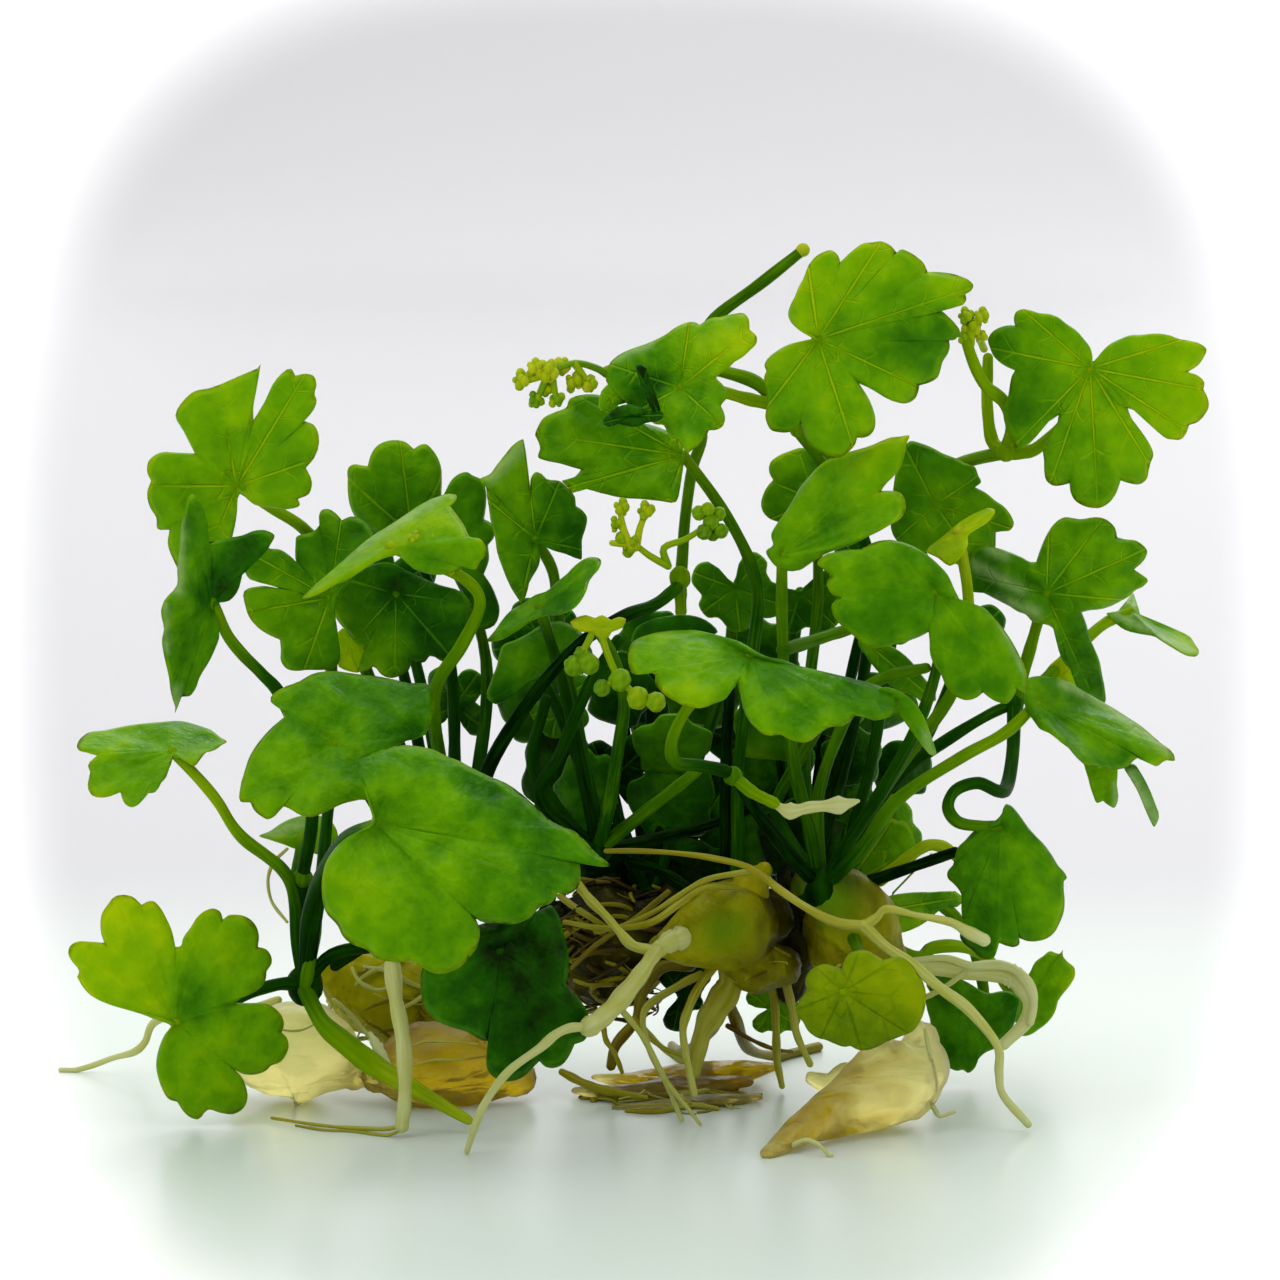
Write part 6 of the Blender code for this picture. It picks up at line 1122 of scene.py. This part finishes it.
# Flower heads: pedicels, then florets and round fruits (column, row, depth, radius in mm, tone, petals or 0).
umbels = dict(
    umbel_top_left=dict(stalks="""
        0.1 0.4; 606 374 1, 596 368 0.8, 575 363 0.2, 552 370 -0.4 /
        0.6 0.6; 575 364 0.2, 590 385 0.4 /
        0.7 0.7; 548 374 -0.5, 524 382 -0.6 /
        0.4 0.4; 548 374 -0.5, 536 402 -0.4 /
        0.5 0.5; 552 374 -0.4, 556 398 -0.6""",
        buds="""548 372 -0.5 0.8 0.8 9, 534 368 -0.5 0.55 0.85 7, 522 380 -0.6 0.6 0.75 7, 536 400 -0.4 0.55 0.35 7,
        557 400 -0.6 0.52 0.45 7, 588 384 0.4 0.6 0.7 7, 562 366 0.4 0.6 0.8 7, 574 382 0.2 0.6 0.7 7,
        548 388 -0.2 0.5 0.6 7"""),
    umbels_centre=dict(stalks="""
        0.5 0.6; 668 566 -0.6, 650 556 -1, 636 545 -1.2 /
        0.4 0.5; 668 566 -0.6, 664 548 -0.8, 686 539 -0.8, 706 526 -1 /
        0.8 0.8; 631 547 -1.4, 624 530 -1.3, 620 512 -1.2 /
        0.8 0.8; 637 543 -1, 640 528 -1.1, 646 512 -1.2 /
        0.8 0.8; 633 545 -1.3, 612 543 -1.2""",
        buds="""632 545 -1.2 0.6 0.56 8, 621 508 -1.2 0.56 0.6 6, 646 511 -1.2 0.55 0.66 7, 617 524 -1.2 0.5 0.56 6,
        622 538 -1.2 0.42 0.5 0, 628 552 -1 0.34 0.5 0, 711 522 -1 0.5 0.3 0, 699 513 -1 0.44 0.36 0,
        721 531 -1 0.44 0.26 0, 704 532 -1.3 0.46 0.2 0, 719 514 -0.8 0.42 0.34 0, 708 509 -1.2 0.4 0.44 0,
        713 534 -0.6 0.42 0.16 0"""),
    umbel_top_right=dict(stalks="""
        0.6 0.7; 971 344 -0.7, 972 330 -0.8 /
        0.7 0.7; 984 349 2, 978 336 0, 972 330 -0.8""",
        buds="""972 328 -0.8 0.66 0.7 8, 981 317 -0.6 0.55 0.7 7, 966 316 -0.8 0.5 0.6 7, 981 335 -0.3 0.46 0.76 6,
        964 336 -0.8 0.45 0.6 6"""),
    left_runner=dict(stalks="""
        0.6 0.6; 452 572 -5.6, 438 560 -6, 424 548 -6.2 /
        0.6 0.6; 438 560 -6, 444 546 -6.2""",
        buds="""424 546 -6.3 0.42 0.62 6, 414 538 -6.2 0.42 0.56 5, 434 538 -6.3 0.42 0.66 5, 427 554 -6.4 0.4 0.7 5,
        446 544 -6.3 0.4 0.6 5, 408 548 -6.1 0.34 0.5 5"""),
    fruits_middle=dict(stalks="""
        0.5 0.5; 598 622 -5.4, 584 650 -5.6, 574 666 -5.8 /
        0.5 0.5; 584 650 -5.6, 589 664 -5.9 /
        0.5 0.5; 598 622 -5.4, 606 650 -5.6, 619 678 -5.8, 640 697 -6.2, 656 701 -6.4 /
        0.5 0.5; 619 678 -5.8, 602 688 -5.8""",
        buds="""574 666 -5.8 0.6 0.25 0, 589 664 -5.9 0.62 0.3 0, 582 655 -5.5 0.5 0.2 0, 620 680 -5.8 0.66 0.4 0,
        638 698 -6.2 0.66 0.5 0, 656 702 -6.4 0.58 0.46 0, 602 688 -5.8 0.5 0.25 0""",
        petals=[bladeOf("""600 628 -5.6; 584 618 0.2, 612 618 0.2, 622 626 0.4, 602 639 0;
        570 622, 578 617, 586 615, 595 618 1, 602 615, 611 620 1, 619 617, 626 619, 622 628, 612 632, 606 640, 599 639,
        592 632, 580 632;
        584 620 0.72, 612 622 0.64, 602 636 0.6""", dome=0.6, each=2)]),
)
flowerMake = dict(pedicel=(0.24, 0.18), fruit=(1, 0.9, 1.05), fruitBumps=0.12)
for name, umbel in umbels.items():
    shapes = [stalk(places, flowerMake["pedicel"], tones, 4, 8)
              for tones, places in tableOf(umbel["stalks"], numbers, spots)]
    shapes += [blade(petal, 1) for petal in umbel.get("petals", ())]
    for number, (*place, radius, tone, petals) in enumerate(spots(umbel["buds"])):
        shapes += floret(place, radius, tone, petals, number) if petals else [
            lump(place, [radius * part for part in flowerMake["fruit"]], tone, flowerMake["fruitBumps"], number, 18, 24,
                 flowerMake["fruitBumps"])]
    addPiece("flowers_of_" + name, shapes, flowerMade, [name])
print("flowers made:", len(umbels))

# Roots: radius in mm and tone, each from base to tip, and the places.
roots = dict(
    root_left_white="""
        0.5 0.44 0.42; 0.84 0.9; 392 966 -5.8, 396 1000 -7.4, 403 1040 -8.6, 405 1090 -9, 402 1126 -9 /
        0.16 0.13 0.09; 0.7 0.56; 402 1126 -9, 380 1129 -8, 327 1126 -6.8, 272 1118 -4.8 /
        0.1 0.1 0.08; 0.6 0.5; 402 1130 -9, 380 1137 -8.6, 352 1134 -7.6, 322 1132 -7.2, 296 1126 -6""",
    root_front_long="""
        0.74 0.66 0.5; 0.86 0.84; 681 938 -3.6, 669 942 -4.2, 655 952 -5 /
        0.48 0.56 0.62 0.56; 0.82 0.86; 655 952 -5, 640 975 -6.6, 620 1000 -9, 602 1018 -11.4, 589 1027 -12.6 /
        0.3 0.28 0.26 0.2; 0.84 0.94; 589 1027 -12.6, 570 1028 -13.2, 555 1035 -13.7, 540 1048 -14.1, 510 1070 -15,
          490 1095 -14.8, 478 1118 -14.4, 467 1151 -13.4 /
        0.3 0.26 0.34; 0.6 0.8; 578 885 -4, 590 900 -4.2, 605 915 -4.5, 618 930 -4.7, 632 945 -4.9, 650 950 -5""",
    root_right_long="""
        0.15 0.17 0.2 0.28 0.34; 0.4 0.5 0.64; 606 851 -3.5, 640 851 -3.7, 674 853 -4, 712 858 -4.6, 750 868 -5.4,
          780 890 -6.6, 807 908 -7.6, 835 922 -7.9, 864 926 -8 /
        0.36 0.34 0.3 0.22; 0.72 0.94; 864 926 -8, 885 946 -7.8, 910 963 -7.6, 940 988 -7.4, 968 1009 -7.2,
          997 1045 -7, 999 1072 -7.2, 1003 1095 -7.5, 1028 1124 -7.6 /
        0.34 0.24 0.2 0.3 0.42; 0.7 0.66 0.76 0.96; 864 926 -8, 876 918 -8, 887 909 -8, 915 915 -8.1, 950 922 -8.2,
          968 932 -8.5, 984 940 -8.8""",
    root_loop="""
        0.44 0.6 0.66 0.5 0.36; 0.84 0.96; 908 966 -0.5, 933 966 -1, 963 971 -1.5, 992 971 -1.8, 1014 977 -2.1,
          1027 992 -2.4, 1030 1008 -2.5, 1024 1024 -2.6, 1004 1044 -3 /
        0.2 0.26 0.3 0.24; 0.9 0.98; 914 961 -1, 945 958 -1.6, 972 966 -2.2, 1000 965 -2.5, 1020 974 -2.7,
          1033 1000 -2.9, 1030 1022 -3 /
        0.18 0.16; 0.8 0.9; 924 998 -1, 940 990 -1.6, 955 980 -2, 965 972 -2 /
        0.4 0.9 0.4; 0.9 1 0.9; 1000 974 -2, 1012 976 -2.1, 1024 980 -2.3""",
    root_far_left="""
        0.26 0.24 0.22 0.16; 0.8 0.96; 278 1000 4, 238 1012 6, 190 1012 7, 155 1022 7.8, 145 1042 8.1, 134 1052 8.2,
          113 1058 8.5, 88 1067 8.8, 61 1073 9""",
    gel_right="""
        0.16 0.14 0.1; 0.96 0.9; 790 1146 -13, 806 1140 -13.4, 820 1146 -13.8, 832 1160 -14 /
        0.2 0.16 0.1; 0.96 1; 926 1100 -5.6, 934 1108 -6, 940 1116 -6.2, 954 1112 -5.8 /
        0.12 0.16 0.1; 0.9 0.96; 925 1030 -5.4, 929 1050 -6.4, 932 1072 -6.4, 931 1090 -6""",
    gel_left="""
        0.05 0.08 0.05; 0.8 0.86; 266 1022 -1.2, 284 1030 -1.8, 302 1030 -2.2, 318 1022 -2.2 /
        0.05 0.08 0.04; 0.66 0.7; 404 1050 -2.1, 424 1042 -2.1, 448 1042 -1.9, 478 1044 -1.4 /
        0.05 0.07 0.04; 0.7 0.74; 412 1066 -2.5, 434 1060 -2.4, 460 1060 -2, 486 1056 -1.2 /
        0.16 0.36 0.2; 0.94 1; 370 1034 -1.5, 378 1048 -2, 388 1064 -2.4""",
    left_crown="""
        0.14 0.16 0.12; 0.8 0.86; 334 1000 3.4, 348 1012 3.6, 360 1026 3.6, 372 1040 3 /
        0.1 0.14 0.1; 0.8 0.84; 352 968 4.6, 360 982 4, 378 990 4, 396 984 4.4 /
        0.12 0.1; 0.8 0.9; 287 849 2.4, 274 862 2.8, 268 880 3, 272 902 3, 287 922 2.4""",
    centre_crown="""
        0.24 0.22 0.16; 0.56 0.5; 732 886 -2.2, 704 888 -3.5, 678 905 -3.8, 647 924 -4, 603 928 -2.6, 565 922 -0.6 /
        0.2 0.2 0.14; 0.6 0.5; 748 872 -2, 712 878 -3.2, 690 889 -3.4, 672 901 -3.5, 650 914 -3.4, 625 925 -3,
          596 932 -2.2 /
        0.16 0.18; 0.34 0.4; 572 968 1, 590 950 1.4, 612 934 1.6, 640 915 1.2, 668 892 0.4""",
    centre_roots="""
        0.85 0.9 0.7 0.4; 0.5 0.66; 735 960 0, 730 985 0, 715 1010 0, 702 1035 -0.2, 694 1072 -0.6 /
        0.3 0.26 0.2; 0.46 0.8; 712 968 -1, 697 990 -1.6, 688 1010 -2.2, 683 1030 -2.8, 686 1055 -3.4, 694 1094 -4.4 /
        0.3 0.2 0.12; 0.55 0.8; 700 975 1, 680 985 1.4, 645 1010 0.4, 648 1045 -2.4, 662 1075 -4, 700 1124 -6.2 /
        0.4 0.34 0.3; 0.3 0.34; 690 965 3, 660 968 3, 642 995 3, 636 1020 2.6, 616 1045 2.2, 611 1066 2.2 /
        0.3 0.22; 0.5 0.66; 760 970 2, 773 993 3, 776 1030 3.3, 777 1060 3.5, 782 1086 3.4 /
        0.3 0.2; 0.56 0.7; 784 975 1.4, 792 1008 1, 797 1035 0.6, 810 1064 0.4 /
        0.2 0.14; 0.74 0.86; 618 1006 -4, 635 1026 -4, 648 1046 -4, 665 1080 -4.2, 674 1102 -4.6, 682 1120 -5.6 /
        0.16 0.14; 0.5 0.6; 634 1018 0.6, 648 1036 0, 664 1048 -0.4, 684 1056 -1 /
        0.18 0.14; 0.44 0.5; 603 1022 1, 606 1040 0.4, 615 1054 0, 622 1072 0 /
        0.2 0.16; 0.7 0.86; 640 1024 1.4, 656 1042 1, 676 1058 0.6, 690 1064 0.4 /
        0.24 0.3 0.2; 0.44 0.56; 562 1072 2, 586 1084 1, 612 1092 0.4, 646 1098 0 /
        0.16 0.12; 0.24 0.3; 728 1026 4, 752 1040 4.4, 774 1049 4.8, 792 1052 5 /
        0.4 0.3; 0.3 0.4; 722 985 1, 716 1022 5, 694 1046 10, 672 1052 15.5 /
        0.4 0.3; 0.3 0.4; 722 985 1, 735 1018 4, 748 1048 8, 778 1056 12, 818 1052 15""",
)
sheath = dict(places=[(306, 992, -3.4), (322, 1022, -4.6), (345, 1043, -5.4), (372, 1064, -6), (400, 1081, -6.8),
                      (430, 1098, -7.2), (468, 1120, -7.5)], radius=(0.5, 0.76, 0.7, 0.3), tones=(0.4, 0.66, 0.82, 0.9))
addPiece("sheath_of_left_crown", [stalk(sheath["places"], sheath["radius"], sheath["tones"], 8, 12, 0.6, 0.1, 1)],
         stalkMade, ["left_crown"])
for name, chains in roots.items():    # a thick root is flattened where it lies
    shapes = [stalk(places, radii, tones, 8, flat=0.6 if max(radii) > 0.68 else 1, knots=0.14, seed=number)
              for number, (radii, tones, places) in enumerate(tableOf(chains, numbers, numbers, spots))]
    addPiece("strands_of_" + name, shapes, rootMade, [name])


# The mat: roots that lie on the floor, crossing one another inside its oval. Each wanders along a chord of the oval:
# its offset from the chord is a sum of two sines, its height a slow sine between the floor and the mat's top.
matMake = dict(place=(672, 1092, 1.5), half=(5.6, 4.3), top=0.7, count=18)
middle = seen(matMake["place"])[0]
middle[2] = 0
matShapes = []
for number in range(matMake["count"]):
    turn = 0.9 * math.sin(number * 2.1) + (1.2 if number % 4 == 3 else 0)
    shift = -0.8 + 1.6 * ((number * 0.618) % 1)
    t = np.linspace(-1, 1, 30) * math.sqrt(1 - shift * shift) * (0.8 + 0.2 * math.sin(number * 3.7))
    off = shift + 0.12 * np.sin(t * 4 + number) + 0.06 * np.sin(t * 9 + number * 2)
    thick = (0.12 + 0.12 * (number % 3 == 0)) * mm * (1 - 0.6 * t ** 2)
    level = matMake["top"] * (0.98 - np.minimum(t ** 2 + off ** 2, 1)) * (0.75 + 0.3 * math.sin(number * 1.3)) * mm
    path = np.column_stack([
        middle[0] + (t * math.cos(turn) - off * math.sin(turn)) * matMake["half"][0] * mm,
        middle[1] + (t * math.sin(turn) + off * math.cos(turn)) * matMake["half"][1] * mm,
        np.maximum(level, thick * 0.5)])
    tone = 0.56 + 0.2 * math.sin(number * 1.9) + 0.1 * np.sin(t * 6 + number)
    matShapes.append(tube(np.column_stack([path, thick, tone, 0 * t]), 8, 0.7))
addPiece("mat_of_roots", matShapes, rootMade, ["root_mat"])
straps = """
    598 1068 5, 644 1074 4.4, 700 1066 4.8, 738 1058 5.2, 772 1050 5.6; 0.4 1.2 1.7 1.4 0.5; 0.5 0.1 0 0.05 0.1 /
    580 1084 1.8, 632 1088 1.8, 684 1080 2.4, 742 1070 3.4; 0.5 1.1 1.4 0.7; 0.6 0.3 0.1 0.1 /
    620 1108 -1.2, 672 1104 -0.8, 716 1098 -0.2, 756 1092 0.6; 0.4 0.8 0.9 0.4; 0.8 0.5 0.3 0.5 /
    700 1060 5.4, 704 1076 3.4, 690 1098 0.8; 0.6 0.9 0.4; 0.1 0.1 0.3"""
matLayers = [swollen(*strap, 0.12, number + 2, flat=0.5)
             for number, strap in enumerate(tableOf(straps, spots, numbers, numbers))]
addPiece("mat_layer", matLayers, gelMade, ["root_mat"])
print("roots made:", len(roots))


# Gel: a paler and an amber part on the left, a crumpled tongue on the right, and clear crumbs beside it.
gels = dict(left="""
    244 1070 1.8, 266 1062 1.2, 296 1052 0.8, 328 1060 0.6, 354 1076 0.4; 0.9 2.3 3.2 2.6 0.9; 0.95 1 0.9 0.75 0.6;
      0.1; 1 /
    378 1074 0.3, 402 1070 0.2, 438 1066 0.4, 476 1066 0.8, 516 1078 1; 1.1 2.3 2.7 2.4 1.2; 0.5 0.3 0.1 0.1 0.3; 0.08;
      3""", right="""
    921 1040 -4, 916 1064 -4.8, 896 1080 -5.8, 862 1098 -7.6, 826 1116 -9.6, 795 1134 -11.8, 768 1153 -14;
      1.1 2.1 2.6 2.1 1.35 0.85 0.45; 0.9 0.9 0.7 0.5 0.3 0.3 0.6; 0.09; 2 /
    846 1078 -5.4, 830 1084 -5.2, 812 1078 -4.6; 0.9 0.7 0.4; 0.95 1 1; 0.08; 4""")
for side, chains in gels.items():
    shapes = [swollen(*chain) for chain in tableOf(chains, spots, numbers, numbers, float, float)]
    addPiece("jelly_" + side, shapes, gelMade, ["gel_" + side])
print("gel made")

# Stage: a floor that curves up into a pale wall, soft light from above, behind and the front left, and the camera.
# The stage's sizes and colours; the white towards the edges of the view is painted light.
stageMake = dict(half=1.2, front=-0.9, back=0.45, bend=0.25, tall=1.0, table=shade(210, 221, 212),
                 wall=shade(186, 186, 189), paintedLightWhite=shade(255, 255, 255), wallFrom=(0.02, 0.08), fadeWide=0.0914,
                 fadeTall=0.092, fadeMiddle=0.162, fadeFrom=(0.8, 1.42), room=0.62, sensor=36)
profile = np.array([(stageMake["front"], 0)] + [
    (stageMake["back"] + stageMake["bend"] * math.sin(a), stageMake["bend"] * (1 - math.cos(a)))
    for a in np.linspace(0, math.pi / 2, 24)] + [(stageMake["back"] + stageMake["bend"], stageMake["tall"])])
sweep = np.stack([np.stack([np.full(len(profile), x), profile[:, 0], profile[:, 1]], -1)
                  for x in (-stageMake["half"], stageMake["half"])])
floorMesh = bpy.data.meshes.new("paleFloor")
rows = np.arange(len(profile) - 1)
floorMesh.from_pydata(sweep.reshape(-1, 3).tolist(), [], np.stack(
    [rows, rows + len(profile), rows + len(profile) + 1, rows + 1], -1).tolist())
floorMesh.shade_smooth()
floor = bpy.data.objects.new("paleFloor", floorMesh)
bpy.context.scene.collection.objects.link(floor)
floorMaterial, floorTree, *_, floorPlace = startMaterial("palePaper")
acrossFloor, intoRoom, upWall = floorPlace.split(0, 1, 2)
# Painted light: the paper turns white towards the edges of the view. The white grows with the third powers of how far
# a sight line points sideways and away from the middle height.
reach = intoRoom - float(eye[1])
sideways = acrossFloor.size() / reach / stageMake["fadeWide"]
upright = ((float(eye[2]) - upWall) / reach - stageMake["fadeMiddle"]).size() / stageMake["fadeTall"]
paintedEdgeLight = sideways.maths("POWER", sideways, 3) * 1.1 + upright.maths("POWER", upright, 3) * 0.8
tableToWall = floorTree.node("ShaderNodeMix", {"data_type": "RGBA"}, {
    0: intoRoom.step(*stageMake["wallFrom"]), 6: stageMake["table"], 7: stageMake["wall"]}, 2)
endMaterial(floorMaterial, floorTree.node("ShaderNodeBsdfPrincipled", {}, {
    "Base Color": tableToWall.blend(stageMake["paintedLightWhite"], paintedEdgeLight.step(*stageMake["fadeFrom"])), "Roughness": 0.28,
    "Specular IOR Level": 0.35}))
floorMesh.materials.append(floorMaterial)

lamps = dict(above=((0.0, 0.05, 0.75), (0, 0, 0.02), 0.7, 2.2), behind=((0.15, 0.55, 0.5), (0, 0, 0.03), 0.5, 2.0),
             left=((-0.55, -0.45, 0.55), (0, 0, 0.02), 0.45, 1.6), right=((0.6, -0.35, 0.4), (0, 0, 0.02), 0.4, 0.7))
for name, (spot, aim, size, power) in lamps.items():
    data = bpy.data.lights.new(name + "Lamp", "AREA")
    data.energy, data.size = power, size
    lamp = bpy.data.objects.new(name + "Lamp", data)
    way = np.array(aim) - np.array(spot)
    lamp.location = spot
    lamp.rotation_euler = (math.atan2(math.hypot(way[0], way[1]), -way[2]), 0, math.atan2(way[1], way[0]) - math.pi / 2)
    bpy.context.scene.collection.objects.link(lamp)

world = bpy.data.worlds.new("softRoom")
world.use_nodes = True
world.node_tree.nodes["Background"].inputs[0].default_value = (1, 1, 1, 1)
world.node_tree.nodes["Background"].inputs[1].default_value = stageMake["room"]
bpy.context.scene.world = world

lens = bpy.data.cameras.new("frontView")
lens.sensor_width = stageMake["sensor"]
lens.lens = stageMake["sensor"] / (view["width"] * view["column"]) * view["eyeDistance"]
lens.clip_start, lens.clip_end = 0.01, 10
camera = bpy.data.objects.new("frontView", lens)
camera.location = eye
camera.rotation_euler = (math.pi / 2 - view["lookDown"], 0, 0)
bpy.context.scene.collection.objects.link(camera)
bpy.context.scene.camera = camera
bpy.context.scene.view_settings.view_transform = "Standard"
print("stage made")
